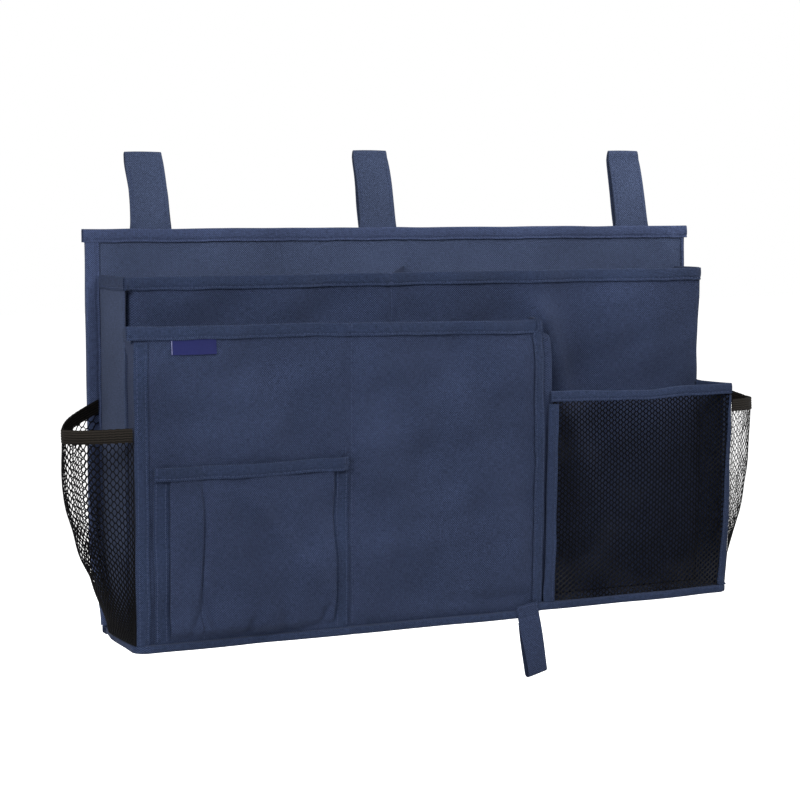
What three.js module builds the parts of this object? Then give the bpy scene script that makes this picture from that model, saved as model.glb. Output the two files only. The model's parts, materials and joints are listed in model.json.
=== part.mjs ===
// Bedside caddy: a hanging organiser sewn from woven cloth, tape and net over stiff boards.
// Millimetres. +X is to the right seen from the front, +Y is towards the bed, +Z is up.
// Inside the caddy group, y = 0 is the front face of the back panel and z = 0 its underside.

import * as THREE from 'three';

// Cloth, boards, tape and net
const clothThickness = 0.8;
const boardThickness = 2.5;
const tapeThickness = 0.8;
const tapeWidth = 12;
const netThickness = 1;
const seamGap = 0.3;

// Back panel
const panelWidth = 640;
const panelHeight = 365;
const topTapeOverhang = 2;
const boardInset = 6;
const centreFoldWidth = 5;

// Base
const baseInset = 8;
const baseLip = 4;
const baseTapeReach = 11;
const baseCornerRadius = 14;
const baseCornerSteps = 4;

// Middle pocket
const middlePocketDepth = 60;
const middlePocketTop = 324;
const middlePanelLeftInset = 16;
const middlePanelRightInset = 20;
const middleDividerFront = -45;
const middleDividerBack = -3;
const middleDividerRise = 14;

// Front pocket
const frontPocketDepth = 36;
const frontPocketTop = 280;
const frontPanelLeftInset = 11;
const frontPanelWidth = 409;
const frontLeftHalfWidth = 206.4;
const frontTapeOverhangLeft = 6;

// Patch pocket on the front pocket
const patchPocketTop = 160;
const patchPocketInset = 16;
const patchPocketWidth = 185.4;
const patchPocketDepth = 7;
const patchBottomCurve = 34;
const pleatWidth = 15;
const penSlotWidth = 45.5;

// Bare woven label
const labelWidth = 41;
const labelHeight = 12.4;
const labelThickness = 0.5;
const labelInset = 33.3;

// Net box pocket
const boxPocketDepth = 37;
const boxPocketTop = 210;
const boxPocketRightInset = 7;
const boxSideTapeWidth = 10;
const netColumns = 10;
const netStrandWidth = 3;

// Net bottle pockets
const bottlePocketBulge = 52;
const bandHeight = 12;
const bandThickness = 1.2;
const bandBackTop = 214;
const bandOuterTop = 190;
const bandFrontTop = 193;
const bandBackInset = 3;

// Rail straps
const strapWidth = 37;
const strapThickness = 1.4;
const strapRise = 72;
const strapLean = 23.3;
const strapFoldRadius = 3.8;
const strapStub = 2;
const strapTailReach = 80;
const strapTailSpread = 9.5;
const leftStrapInset = 61;
const middleStrapOffset = -30;
const rightStrapInset = 65;

// Hook patch on each tail and loop patch behind the panel
const gripPatchWidth = 33;
const gripPatchHeight = 58;
const gripPatchThickness = 1;
const gripPatchDrop = 18;

// Loop under the front edge
const pullLoopInset = 21;
const pullLoopWidth = 23;
const pullLoopThickness = 0.8;
const pullLoopLength = 57;
const pullLoopSpread = 3;
const pullLoopNeck = 2;
const pullLoopSewnAbove = 8;
const pullLoopSewnBelow = 6;
const pullLoopLean = THREE.MathUtils.degToRad(9);

// Sizes worked out from the ones above
const stackThickness = 2 * clothThickness + boardThickness + 2 * seamGap;
const tapeStep = tapeThickness + seamGap;
const baseHeight = stackThickness + 2 * tapeStep;
const floorHeight = baseHeight + seamGap;
const frontFace = -(middlePocketDepth + frontPocketDepth);
const boxFace = -(middlePocketDepth + boxPocketDepth);
const baseDepth = Math.max(-frontFace, -boxFace) + baseLip;
const panelEdge = panelWidth / 2;
const baseHalfWidth = panelEdge - baseInset;
const middlePanelLeft = -panelEdge + middlePanelLeftInset;
const middlePanelRight = panelEdge - middlePanelRightInset;
const frontPanelLeft = -panelEdge + frontPanelLeftInset;
const frontPanelRight = frontPanelLeft + frontPanelWidth;
const frontDividerPlace = frontPanelLeft + frontLeftHalfWidth;
const patchPocketLeft = frontPanelLeft + patchPocketInset;
const patchPocketRight = patchPocketLeft + patchPocketWidth;
const penSeamPlace = patchPocketLeft + penSlotWidth;
const boxPocketLeft = frontPanelRight + 2 * seamGap;
const boxPocketRight = panelEdge - boxPocketRightInset;
const leftStrapCentre = -panelEdge + leftStrapInset;
const rightStrapCentre = panelEdge - rightStrapInset;
const pullLoopCentre = frontPanelRight - pullLoopInset;

// Finishes
const navyCloth = { color: 0x3c4462, roughness: 0.9, metalness: 0 };
const navyTape = { color: 0x37405c, roughness: 0.85, metalness: 0 };
const blackNet = { color: 0x1b1b1f, roughness: 0.8, metalness: 0 };
const elasticBand = { color: 0x2a2622, roughness: 0.75, metalness: 0 };
const hookAndLoop = { color: 0x16181d, roughness: 0.95, metalness: 0 };
const labelCloth = { color: 0x343a6b, roughness: 0.7, metalness: 0 };
const plasticBoard = { color: 0x8c8f92, roughness: 0.5, metalness: 0 };

function addPiece(group, name, geometry, finish) {
  const mesh = new THREE.Mesh(geometry, new THREE.MeshStandardMaterial(finish));
  mesh.name = name;
  group.add(mesh);
  return mesh;
}

function addGroup(parent, x, y, z) {
  const group = new THREE.Group();
  group.position.set(x, y, z);
  parent.add(group);
  return group;
}

function signedVolume(points, faces) {
  let volume = 0;
  for (const [a, b, c] of faces) {
    volume += points[a].dot(new THREE.Vector3().crossVectors(points[b], points[c])) / 6;
  }
  return volume;
}

// A closed geometry from points and triangles, turned so that its faces point out.
function closedGeometry(points, faces) {
  const outward = signedVolume(points, faces) > 0;
  const index = faces.flatMap(([a, b, c]) => (outward ? [a, b, c] : [a, c, b]));
  const geometry = new THREE.BufferGeometry().setFromPoints(points);
  geometry.setIndex(index);
  geometry.computeVertexNormals();
  return geometry;
}

// A box between two corners.
function slab(x0, x1, y0, y1, z0, z1) {
  const geometry = new THREE.BoxGeometry(x1 - x0, y1 - y0, z1 - z0);
  geometry.translate((x0 + x1) / 2, (y0 + y1) / 2, (z0 + z1) / 2);
  return geometry;
}

// A sheet of even thickness whose middle surface runs through a grid of points.
function sheet(grid, thickness) {
  const rows = grid.length;
  const columns = grid[0].length;
  const within = (value, count) => THREE.MathUtils.clamp(value, 0, count - 1);
  const at = (i, j) => grid[within(i, rows)][within(j, columns)];
  const points = [];
  for (const side of [0.5, -0.5]) {
    for (let i = 0; i < rows; i += 1) {
      for (let j = 0; j < columns; j += 1) {
        const along = at(i + 1, j).clone().sub(at(i - 1, j));
        const across = at(i, j + 1).clone().sub(at(i, j - 1));
        const normal = along.cross(across).normalize();
        points.push(at(i, j).clone().addScaledVector(normal, side * thickness));
      }
    }
  }
  const number = (side, i, j) => side * rows * columns + i * columns + j;
  const faces = [];
  const quad = (a, b, c, d) => faces.push([a, b, c], [a, c, d]);
  for (let i = 0; i + 1 < rows; i += 1) {
    for (let j = 0; j + 1 < columns; j += 1) {
      quad(number(0, i, j), number(0, i + 1, j), number(0, i + 1, j + 1), number(0, i, j + 1));
      quad(number(1, i, j), number(1, i, j + 1), number(1, i + 1, j + 1), number(1, i + 1, j));
    }
  }
  for (let i = 0; i + 1 < rows; i += 1) {
    quad(number(0, i + 1, 0), number(0, i, 0), number(1, i, 0), number(1, i + 1, 0));
    const last = columns - 1;
    quad(number(0, i, last), number(0, i + 1, last), number(1, i + 1, last), number(1, i, last));
  }
  for (let j = 0; j + 1 < columns; j += 1) {
    quad(number(0, 0, j), number(0, 0, j + 1), number(1, 0, j + 1), number(1, 0, j));
    const last = rows - 1;
    quad(number(0, last, j + 1), number(0, last, j), number(1, last, j), number(1, last, j + 1));
  }
  return closedGeometry(points, faces);
}

// A standing wall over two points of the plan, with a top height at each of them.
function wall(start, end, bottom, startTop, endTop, thickness) {
  const column = ([x, y], top) => [new THREE.Vector3(x, y, bottom), new THREE.Vector3(x, y, top)];
  return sheet([column(start, startTop), column(end, endTop)], thickness);
}

// A closed outline carried along frames; an outline point is [across, inward].
function sweep(outline, frames) {
  const count = outline.length;
  const points = frames.flatMap(({ at, across, inward }) =>
    outline.map(([a, b]) => at.clone().addScaledVector(across, a).addScaledVector(inward, b)));
  const faces = [];
  for (let i = 0; i + 1 < frames.length; i += 1) {
    for (let k = 0; k < count; k += 1) {
      const next = (k + 1) % count;
      const here = i * count;
      const there = here + count;
      faces.push([here + k, here + next, there + next], [here + k, there + next, there + k]);
    }
  }
  const cap = THREE.ShapeUtils.triangulateShape(outline.map(([a, b]) => new THREE.Vector2(a, b)), []);
  const last = (frames.length - 1) * count;
  for (const [a, b, c] of cap) {
    faces.push([c, b, a], [last + a, last + b, last + c]);
  }
  return closedGeometry(points, faces);
}

// The outline of a tape folded over the edge of a stack of cloth.
function foldedTape(stack, reach) {
  const outer = stack / 2 + tapeStep;
  const inner = outer - tapeThickness;
  return [[-outer, 0], [outer, 0], [outer, reach], [inner, reach],
    [inner, tapeThickness], [-inner, tapeThickness], [-inner, reach], [-outer, reach]];
}

// A folded tape between two points of its outer edge.
function tapeAlong(start, end, across, inward, stack, reach) {
  return sweep(foldedTape(stack, reach), [start, end].map((at) => ({ at, across, inward })));
}

const vector = (x, y, z) => new THREE.Vector3(x, y, z);
const alongX = vector(1, 0, 0);
const alongY = vector(0, 1, 0);
const alongZ = vector(0, 0, 1);
const downward = alongZ.clone().negate();

// A tape over the level top edge of a wall that stands over two points of the plan.
function topTape([x0, y0], [x1, y1], top) {
  const across = vector(y0 - y1, x1 - x0, 0).normalize();
  const start = vector(x0, y0, top);
  const end = vector(x1, y1, top);
  return tapeAlong(start, end, across, downward, clothThickness, tapeWidth);
}

// The plan point at a distance from the start of a line towards its end.
function alongLine([x0, y0], [x1, y1], distance) {
  const share = distance / Math.hypot(x1 - x0, y1 - y0);
  return [x0 + (x1 - x0) * share, y0 + (y1 - y0) * share];
}

// A tape over the top edge of a wall, drawn in from both of its ends.
function wallTape(back, front, top, backInset, frontInset) {
  return topTape(alongLine(back, front, backInset), alongLine(front, back, frontInset), top);
}

// A tape over an upright edge at a plan point, facing outward along X.
function sideTape(x, y, bottom, top, outwardSign, stack, reach) {
  const inward = alongX.clone().multiplyScalar(-outwardSign);
  return tapeAlong(vector(x, y, bottom), vector(x, y, top), alongY, inward, stack, reach);
}

const caddy = new THREE.Group();
caddy.position.set(0, -stackThickness, -panelHeight);

// Back panel: two cloths round two boards that leave a fold at the centre, bound on three sides
function buildBackPanel() {
  const group = addGroup(caddy, 0, 0, floorHeight);
  const height = panelHeight - floorHeight;
  const clothEdge = panelEdge - tapeStep;
  const clothTop = height - tapeStep;
  const boardFront = clothThickness + seamGap;
  const boardBack = boardFront + boardThickness;
  const boardEdge = clothEdge - boardInset;
  const foldEdge = centreFoldWidth / 2;
  const rearCloth = boardBack + seamGap;
  const boardTop = clothTop - boardInset;
  const stackMiddle = stackThickness / 2;
  addPiece(group, 'back_panel_front_cloth',
    slab(-clothEdge, clothEdge, 0, clothThickness, 0, clothTop), navyCloth);
  addPiece(group, 'back_panel_board_left',
    slab(-boardEdge, -foldEdge, boardFront, boardBack, boardInset, boardTop), plasticBoard);
  addPiece(group, 'back_panel_board_right',
    slab(foldEdge, boardEdge, boardFront, boardBack, boardInset, boardTop), plasticBoard);
  addPiece(group, 'back_panel_rear_cloth',
    slab(-clothEdge, clothEdge, rearCloth, stackThickness, 0, clothTop), navyCloth);
  const tapeEnd = panelEdge + topTapeOverhang;
  addPiece(group, 'back_panel_top_binding',
    tapeAlong(vector(-tapeEnd, stackMiddle, height), vector(tapeEnd, stackMiddle, height),
      alongY, downward, stackThickness, tapeWidth), navyTape);
  const sideTop = height - tapeWidth - seamGap;
  for (const [side, sign] of [['left', -1], ['right', 1]]) {
    const edge = sign * panelEdge;
    addPiece(group, `back_panel_${side}_binding`,
      sideTape(edge, stackMiddle, 0, sideTop, sign, stackThickness, tapeWidth), navyTape);
  }
}

// Base: a board between two cloths, bound all round, with round front corners
function baseOutline(inset) {
  const half = baseHalfWidth - inset;
  const front = baseDepth - inset;
  const back = stackThickness + tapeStep - inset;
  const radius = baseCornerRadius - inset;
  const shape = new THREE.Shape();
  shape.moveTo(-half, back);
  shape.lineTo(-half, -front + radius);
  shape.absarc(-half + radius, -front + radius, radius, Math.PI, 1.5 * Math.PI, false);
  shape.lineTo(half - radius, -front);
  shape.absarc(half - radius, -front + radius, radius, 1.5 * Math.PI, 2 * Math.PI, false);
  shape.lineTo(half, back);
  shape.closePath();
  return shape;
}

function baseSheet(inset, bottom, thickness) {
  const options = { depth: thickness, bevelEnabled: false, curveSegments: baseCornerSteps };
  const geometry = new THREE.ExtrudeGeometry(baseOutline(inset), options);
  geometry.translate(0, 0, bottom);
  return geometry;
}

function buildBase() {
  const group = addGroup(caddy, 0, 0, 0);
  const boardBottom = tapeStep + clothThickness + seamGap;
  const topCloth = boardBottom + boardThickness + seamGap;
  const boardEdge = tapeStep + boardInset;
  addPiece(group, 'base_under_cloth', baseSheet(tapeStep, tapeStep, clothThickness), navyCloth);
  addPiece(group, 'base_board', baseSheet(boardEdge, boardBottom, boardThickness), plasticBoard);
  addPiece(group, 'base_top_cloth', baseSheet(tapeStep, topCloth, clothThickness), navyCloth);
  const middle = baseHeight / 2;
  const rear = stackThickness + tapeStep;
  const rearTapeEnd = rear - baseTapeReach - seamGap;
  const cornerX = baseHalfWidth - baseCornerRadius;
  const cornerY = -baseDepth + baseCornerRadius;
  const leftEnd = vector(-baseHalfWidth, rearTapeEnd, middle);
  const rightEnd = vector(baseHalfWidth, rearTapeEnd, middle);
  const frames = [{ at: leftEnd, across: alongZ, inward: alongX }];
  for (const [sign, first] of [[-1, Math.PI], [1, 1.5 * Math.PI]]) {
    for (let step = 0; step <= baseCornerSteps; step += 1) {
      const angle = first + (step / baseCornerSteps) * Math.PI / 2;
      const outward = vector(Math.cos(angle), Math.sin(angle), 0);
      const at = vector(sign * cornerX, cornerY, middle).addScaledVector(outward, baseCornerRadius);
      frames.push({ at, across: alongZ, inward: outward.clone().negate() });
    }
  }
  frames.push({ at: rightEnd, across: alongZ, inward: alongX.clone().negate() });
  addPiece(group, 'base_front_binding',
    sweep(foldedTape(stackThickness, baseTapeReach), frames), navyTape);
  addPiece(group, 'base_rear_binding',
    tapeAlong(vector(-baseHalfWidth, rear, middle), vector(baseHalfWidth, rear, middle),
      alongZ, alongY.clone().negate(), stackThickness, baseTapeReach), navyTape);
}

// Middle pocket: a full-width panel held off the back panel by two gussets and a slanting divider
function buildMiddlePocket() {
  const group = addGroup(caddy, 0, 0, 0);
  const panelRear = -middlePocketDepth + clothThickness;
  const clothMiddle = -middlePocketDepth + clothThickness / 2;
  const clothTop = middlePocketTop - tapeStep;
  addPiece(group, 'middle_pocket_panel',
    slab(middlePanelLeft, middlePanelRight, -middlePocketDepth, panelRear, floorHeight, clothTop),
    navyCloth);
  addPiece(group, 'middle_pocket_top_binding',
    topTape([middlePanelLeft, clothMiddle], [middlePanelRight, clothMiddle], middlePocketTop), navyTape);
  const gussetBack = panelEdge - tapeWidth - clothThickness;
  const gussetFrontEnd = panelRear + tapeStep + seamGap;
  const sides = [['left', -1, middlePanelLeft], ['right', 1, middlePanelRight]];
  for (const [side, sign, panelEnd] of sides) {
    const back = [sign * gussetBack, -seamGap];
    const front = [panelEnd - sign * clothThickness, gussetFrontEnd];
    addPiece(group, `middle_pocket_${side}_gusset`,
      wall(back, front, floorHeight, clothTop, clothTop, clothThickness), navyCloth);
    addPiece(group, `middle_pocket_${side}_gusset_binding`,
      wallTape(back, front, middlePocketTop, 2 * tapeStep, seamGap), navyTape);
  }
  addPiece(group, 'middle_pocket_divider',
    wall([middleDividerFront, gussetFrontEnd], [middleDividerBack, -seamGap], floorHeight,
      clothTop, clothTop + middleDividerRise, clothThickness), navyCloth);
}

// Front pocket: a bound panel in front of the middle pocket, with gussets and a divider
function buildFrontPocket() {
  const group = addGroup(caddy, 0, frontFace, 0);
  const middleFront = frontPocketDepth - seamGap;
  const clothMiddle = clothThickness / 2;
  const clothTop = frontPocketTop - tapeStep;
  const clothLeft = frontPanelLeft + tapeStep;
  const clothRight = frontPanelRight - tapeStep;
  const behindTape = clothThickness + tapeStep + seamGap;
  addPiece(group, 'front_pocket_panel',
    slab(clothLeft, clothRight, 0, clothThickness, floorHeight, clothTop), navyCloth);
  const topTapeStart = [frontPanelLeft - frontTapeOverhangLeft, clothMiddle];
  addPiece(group, 'front_pocket_top_binding',
    topTape(topTapeStart, [frontPanelRight, clothMiddle], frontPocketTop), navyTape);
  const sideTop = frontPocketTop - tapeWidth - seamGap;
  addPiece(group, 'front_pocket_left_binding',
    sideTape(frontPanelLeft, clothMiddle, floorHeight, sideTop, -1, clothThickness, tapeWidth),
    navyTape);
  addPiece(group, 'front_pocket_right_binding',
    sideTape(frontPanelRight, clothMiddle, floorHeight, sideTop, 1, clothThickness, tapeWidth),
    navyTape);
  const rightGusset = frontPanelRight - clothThickness;
  const gussets = [
    ['left', [middlePanelLeft, middleFront], [frontPanelLeft + clothThickness, behindTape]],
    ['right', [rightGusset, middleFront], [rightGusset, behindTape]],
  ];
  for (const [side, back, front] of gussets) {
    addPiece(group, `front_pocket_${side}_gusset`,
      wall(back, front, floorHeight, clothTop, clothTop, clothThickness), navyCloth);
    addPiece(group, `front_pocket_${side}_gusset_binding`,
      wallTape(back, front, frontPocketTop, seamGap, seamGap), navyTape);
  }
  addPiece(group, 'front_pocket_divider',
    wall([frontDividerPlace, middleFront], [frontDividerPlace, behindTape], floorHeight,
      clothTop, clothTop, clothThickness), navyCloth);
  const labelLeft = frontPanelLeft + labelInset;
  const labelRight = labelLeft + labelWidth;
  const labelFace = -seamGap - labelThickness;
  addPiece(group, 'label',
    slab(labelLeft, labelRight, labelFace, -seamGap, sideTop - labelHeight, sideTop), labelCloth);
}

// Patch pocket: a panel that stands off the front pocket on side pleats and is sewn down at its foot
function buildPatchPocket() {
  const group = addGroup(caddy, 0, frontFace - seamGap, 0);
  const stand = -(patchPocketDepth + clothThickness / 2);
  const foot = -clothThickness / 2;
  const top = patchPocketTop - tapeStep;
  const curveSteps = 5;
  const profile = [[stand, top]];
  for (let step = 0; step <= curveSteps; step += 1) {
    const share = step / curveSteps;
    const depthShare = 0.5 + 0.5 * Math.cos(share * Math.PI);
    profile.push([foot + (stand - foot) * depthShare, floorHeight + patchBottomCurve * (1 - share)]);
  }
  const rows = profile.map(([y, z]) => [vector(patchPocketLeft, y, z), vector(patchPocketRight, y, z)]);
  addPiece(group, 'patch_pocket_panel', sheet(rows, clothThickness), navyCloth);
  addPiece(group, 'patch_pocket_top_binding',
    topTape([patchPocketLeft, stand], [patchPocketRight, stand], patchPocketTop), navyTape);
  const pleatFront = -patchPocketDepth + tapeStep + seamGap;
  const pleatBottom = floorHeight + patchBottomCurve + seamGap;
  const pleats = [['left', patchPocketLeft], ['right', patchPocketRight - pleatWidth]];
  for (const [side, start] of pleats) {
    addPiece(group, `patch_pocket_${side}_pleat`,
      slab(start, start + pleatWidth, pleatFront, 0, pleatBottom, top), navyCloth);
  }
  const penDividerLeft = penSeamPlace - clothThickness / 2;
  const penDividerRight = penSeamPlace + clothThickness / 2;
  addPiece(group, 'patch_pocket_pen_divider',
    slab(penDividerLeft, penDividerRight, pleatFront, 0, pleatBottom, top), navyCloth);
}

// A flat net: a cloth with staggered rows of diamond gaps between its bound edges
function netPanel(left, right, bottom, top, edge, bottomEdge, topEdge) {
  const shape = new THREE.Shape();
  shape.moveTo(left, bottom);
  shape.lineTo(right, bottom);
  shape.lineTo(right, top);
  shape.lineTo(left, top);
  shape.closePath();
  const openLeft = left + edge;
  const openWidth = right - left - 2 * edge;
  const openBottom = bottom + bottomEdge;
  const openHeight = top - bottom - bottomEdge - topEdge;
  const pitch = openWidth / netColumns;
  const rows = Math.max(Math.round(openHeight / pitch), 1);
  const rowPitch = openHeight / rows;
  const halfWide = (pitch - netStrandWidth) / 2;
  const halfTall = (rowPitch - netStrandWidth) / 2;
  for (let row = 0.5; row < rows; row += 0.5) {
    const shift = Number.isInteger(row) ? 0 : 0.5;
    for (let column = shift || 1; column < netColumns; column += 1) {
      const x = openLeft + column * pitch;
      const z = openBottom + row * rowPitch;
      const gap = new THREE.Path();
      gap.moveTo(x - halfWide, z);
      gap.lineTo(x, z - halfTall);
      gap.lineTo(x + halfWide, z);
      gap.lineTo(x, z + halfTall);
      gap.closePath();
      shape.holes.push(gap);
    }
  }
  const geometry = new THREE.ExtrudeGeometry(shape, { depth: netThickness, bevelEnabled: false });
  geometry.rotateX(Math.PI / 2);
  return geometry;
}

// Box pocket: a net front bound on three sides, with one cloth wall on the right
function buildBoxPocket() {
  const group = addGroup(caddy, 0, boxFace, 0);
  const middleFront = boxPocketDepth - seamGap;
  const netLeft = boxPocketLeft + tapeStep;
  const netRight = boxPocketRight - tapeStep;
  const clothMiddle = netThickness / 2;
  const clothTop = boxPocketTop - tapeStep;
  const net = netPanel(netLeft, netRight, floorHeight, clothTop, boxSideTapeWidth, seamGap, tapeWidth);
  net.translate(0, netThickness, 0);
  addPiece(group, 'box_pocket_net', net, blackNet);
  const topLeft = vector(boxPocketLeft, clothMiddle, boxPocketTop);
  const topRight = vector(boxPocketRight, clothMiddle, boxPocketTop);
  addPiece(group, 'box_pocket_top_binding',
    tapeAlong(topLeft, topRight, alongY, downward, netThickness, tapeWidth), navyTape);
  const sideTop = boxPocketTop - tapeWidth - seamGap;
  for (const [side, sign, edge] of [['left', -1, boxPocketLeft], ['right', 1, boxPocketRight]]) {
    addPiece(group, `box_pocket_${side}_binding`,
      sideTape(edge, clothMiddle, floorHeight, sideTop, sign, netThickness, boxSideTapeWidth),
      navyTape);
  }
  const behindTape = netThickness + tapeStep + seamGap;
  const back = [middlePanelRight - clothThickness, middleFront];
  const front = [boxPocketRight - clothThickness, behindTape];
  addPiece(group, 'box_pocket_right_wall',
    wall(back, front, floorHeight, clothTop, clothTop, clothThickness), navyCloth);
  addPiece(group, 'box_pocket_wall_binding',
    wallTape(back, front, boxPocketTop, tapeStep, seamGap), navyTape);
}

// Bottle pockets: a net that bulges from the side, under an elastic band
const planShares = [0, 0.12, 0.26, 0.4, 0.5, 0.6, 0.74, 0.88, 1];
const netRowShares = [0, 0.1, 0.3, 0.55, 0.75, 0.9, 1];
const leftBulgeShares = [1, 1.03, 0.97, 0.72, 0.42, 0.2, 0.06];
const rightBulgeShares = [1, 1.03, 1, 0.92, 0.74, 0.42, 0.08];
const bulgeSlewShare = 1 / 6;

// A point of the pocket's plan: a quadratic curve from the back seam over the bulge to the front seam.
function planPoint(back, front, sign, bulge, share) {
  const slew = (front.y - back.y) * bulgeSlewShare * bulge / bottlePocketBulge;
  const pull = vector(sign * 2 * bulge, slew, 0);
  const control = back.clone().add(front).multiplyScalar(0.5).add(pull);
  const curve = new THREE.QuadraticBezierCurve3(back, control, front);
  return curve.getPoint(share);
}

function bandTop(share) {
  const toBack = Math.max(0, 1 - 2 * share);
  const toFront = Math.max(0, 2 * share - 1);
  return bandOuterTop + (bandBackTop - bandOuterTop) * toBack + (bandFrontTop - bandOuterTop) * toFront;
}

function buildBottlePocket(side, sign, frontX, frontY, bulgeShares) {
  const group = addGroup(caddy, 0, 0, 0);
  const reach = bandThickness / 2 + seamGap;
  const back = vector(sign * (panelEdge - tapeWidth + bandBackInset), -tapeStep - reach, 0);
  const front = vector(frontX + sign * reach, frontY, 0);
  const bandRow = (drop) => planShares.map((share) => {
    const point = planPoint(back, front, sign, bottlePocketBulge, share);
    return point.setZ(bandTop(share) - drop);
  });
  addPiece(group, `${side}_bottle_pocket_band`,
    sheet([bandRow(0), bandRow(bandHeight)], bandThickness), elasticBand);
  const netRows = netRowShares.map((rowShare, row) => planShares.map((share) => {
    const top = bandTop(share) - bandHeight - seamGap;
    const point = planPoint(back, front, sign, bottlePocketBulge * bulgeShares[row], share);
    return point.setZ(top + (floorHeight - top) * rowShare);
  }));
  addPiece(group, `${side}_bottle_pocket_net`, sheet(netRows, netThickness), blackNet);
}

// Rail straps: each rises from the top binding, folds over and comes down behind the panel
function strapSheet(profile) {
  const half = strapWidth / 2;
  return sheet(profile.map(([y, z]) => [vector(-half, y, z), vector(half, y, z)]), strapThickness);
}

function buildStrap(name, centre) {
  const stackMiddle = stackThickness / 2;
  const group = addGroup(caddy, centre, stackMiddle - strapThickness / 2, panelHeight + seamGap);
  const centreLine = strapThickness / 2;
  const foldHeight = strapRise - seamGap - strapFoldRadius - centreLine;
  const foldSteps = 6;
  const riser = [[centreLine, 0], [centreLine, strapStub]];
  for (let step = 0; step <= foldSteps; step += 1) {
    const angle = Math.PI * (1 - step / foldSteps);
    const back = strapLean + strapFoldRadius * Math.cos(angle);
    riser.push([back, foldHeight + strapFoldRadius * Math.sin(angle)]);
  }
  addPiece(group, `${name}_strap_riser`, strapSheet(riser), navyCloth);
  const panelRear = stackMiddle + centreLine;
  const tailRest = panelRear + 2 * gripPatchThickness + 3 * seamGap + centreLine;
  const besideTop = centreLine + strapTailSpread;
  const tail = [
    [strapLean + strapFoldRadius, foldHeight - 2 * seamGap],
    [besideTop, 0],
    [tailRest, -gripPatchDrop],
    [tailRest, -strapTailReach],
  ];
  addPiece(group, `${name}_strap_tail`, strapSheet(tail), navyCloth);
  const patchTop = -gripPatchDrop - seamGap;
  const patchBottom = patchTop - gripPatchHeight;
  const half = gripPatchWidth / 2;
  const loopBack = panelRear + seamGap + gripPatchThickness;
  const hookFront = loopBack + seamGap;
  addPiece(group, `${name}_strap_hook_patch`,
    slab(-half, half, hookFront, hookFront + gripPatchThickness, patchBottom, patchTop), hookAndLoop);
  addPiece(group, `${name}_rear_loop_patch`,
    slab(-half, half, loopBack - gripPatchThickness, loopBack, patchBottom, patchTop), hookAndLoop);
}

// Pull loop: a short tape sewn over the base binding and folded into a hanging loop
function buildPullLoop() {
  const sewnFront = -baseDepth - seamGap - pullLoopThickness;
  const group = addGroup(caddy, pullLoopCentre, sewnFront + pullLoopThickness / 2, 0);
  const turned = addGroup(group, 0, 0, 0);
  turned.rotation.y = -pullLoopLean;
  const half = pullLoopWidth / 2;
  const face = pullLoopThickness / 2;
  addPiece(turned, 'pull_loop_sewn_end',
    slab(-half, half, -face, face, -pullLoopSewnBelow, pullLoopSewnAbove), navyTape);
  const leaf = pullLoopThickness / 2 + seamGap / 4;
  const hinge = -pullLoopSewnBelow - pullLoopThickness - seamGap / 2;
  const loopBottom = hinge - pullLoopLength + pullLoopSpread;
  const profile = [[-leaf, hinge], [-leaf, hinge - pullLoopNeck], [-pullLoopSpread, loopBottom / 2]];
  const foldSteps = 6;
  for (let step = 0; step <= foldSteps; step += 1) {
    const angle = Math.PI * (1 + step / foldSteps);
    profile.push([pullLoopSpread * Math.cos(angle), loopBottom + pullLoopSpread * Math.sin(angle)]);
  }
  profile.push([pullLoopSpread, loopBottom / 2], [leaf, hinge - pullLoopNeck], [leaf, hinge]);
  const rows = profile.map(([y, z]) => [vector(-half, y, z), vector(half, y, z)]);
  addPiece(turned, 'pull_loop', sheet(rows, pullLoopThickness), navyTape);
}

buildBackPanel();
buildBase();
buildMiddlePocket();
buildFrontPocket();
buildPatchPocket();
buildBoxPocket();
buildBottlePocket('left', -1, frontPanelLeft, frontFace + clothThickness / 2, leftBulgeShares);
buildBottlePocket('right', 1, boxPocketRight, boxFace + netThickness / 2, rightBulgeShares);
buildStrap('left', leftStrapCentre);
buildStrap('middle', middleStrapOffset);
buildStrap('right', rightStrapCentre);
buildPullLoop();

export default caddy;
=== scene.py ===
import json
import math

import bpy
import numpy as np
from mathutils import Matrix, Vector


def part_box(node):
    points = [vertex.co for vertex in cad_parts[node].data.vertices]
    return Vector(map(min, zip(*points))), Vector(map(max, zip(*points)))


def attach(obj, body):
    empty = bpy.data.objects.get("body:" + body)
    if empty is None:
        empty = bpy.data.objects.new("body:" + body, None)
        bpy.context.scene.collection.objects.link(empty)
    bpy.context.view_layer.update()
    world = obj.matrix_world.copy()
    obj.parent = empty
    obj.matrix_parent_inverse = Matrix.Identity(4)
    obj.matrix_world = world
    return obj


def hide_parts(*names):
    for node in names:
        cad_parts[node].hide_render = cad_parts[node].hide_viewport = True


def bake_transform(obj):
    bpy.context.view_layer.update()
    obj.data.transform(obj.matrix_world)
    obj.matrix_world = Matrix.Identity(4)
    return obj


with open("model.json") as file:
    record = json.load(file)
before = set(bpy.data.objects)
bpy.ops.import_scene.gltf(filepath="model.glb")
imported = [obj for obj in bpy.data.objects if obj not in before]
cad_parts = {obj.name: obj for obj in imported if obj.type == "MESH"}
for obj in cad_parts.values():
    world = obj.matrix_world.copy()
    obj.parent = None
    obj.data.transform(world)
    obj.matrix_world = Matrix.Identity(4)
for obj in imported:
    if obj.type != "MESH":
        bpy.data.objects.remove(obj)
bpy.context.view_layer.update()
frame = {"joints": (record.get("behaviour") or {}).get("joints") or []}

bl_info = {
    "name": "Bedside Caddy",
    "version": (1, 0, 0),
    "blender": (4, 5, 0),
    "location": "View3D > Sidebar > Caddy",
    "description": "Sews the cloth, tape, net and thread of a bedside caddy over its packed solids",
    "category": "Object",
}

# Shapes are worked out in millimetres in the frame's own axes, and stored in metres.
MM = 0.001

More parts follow.
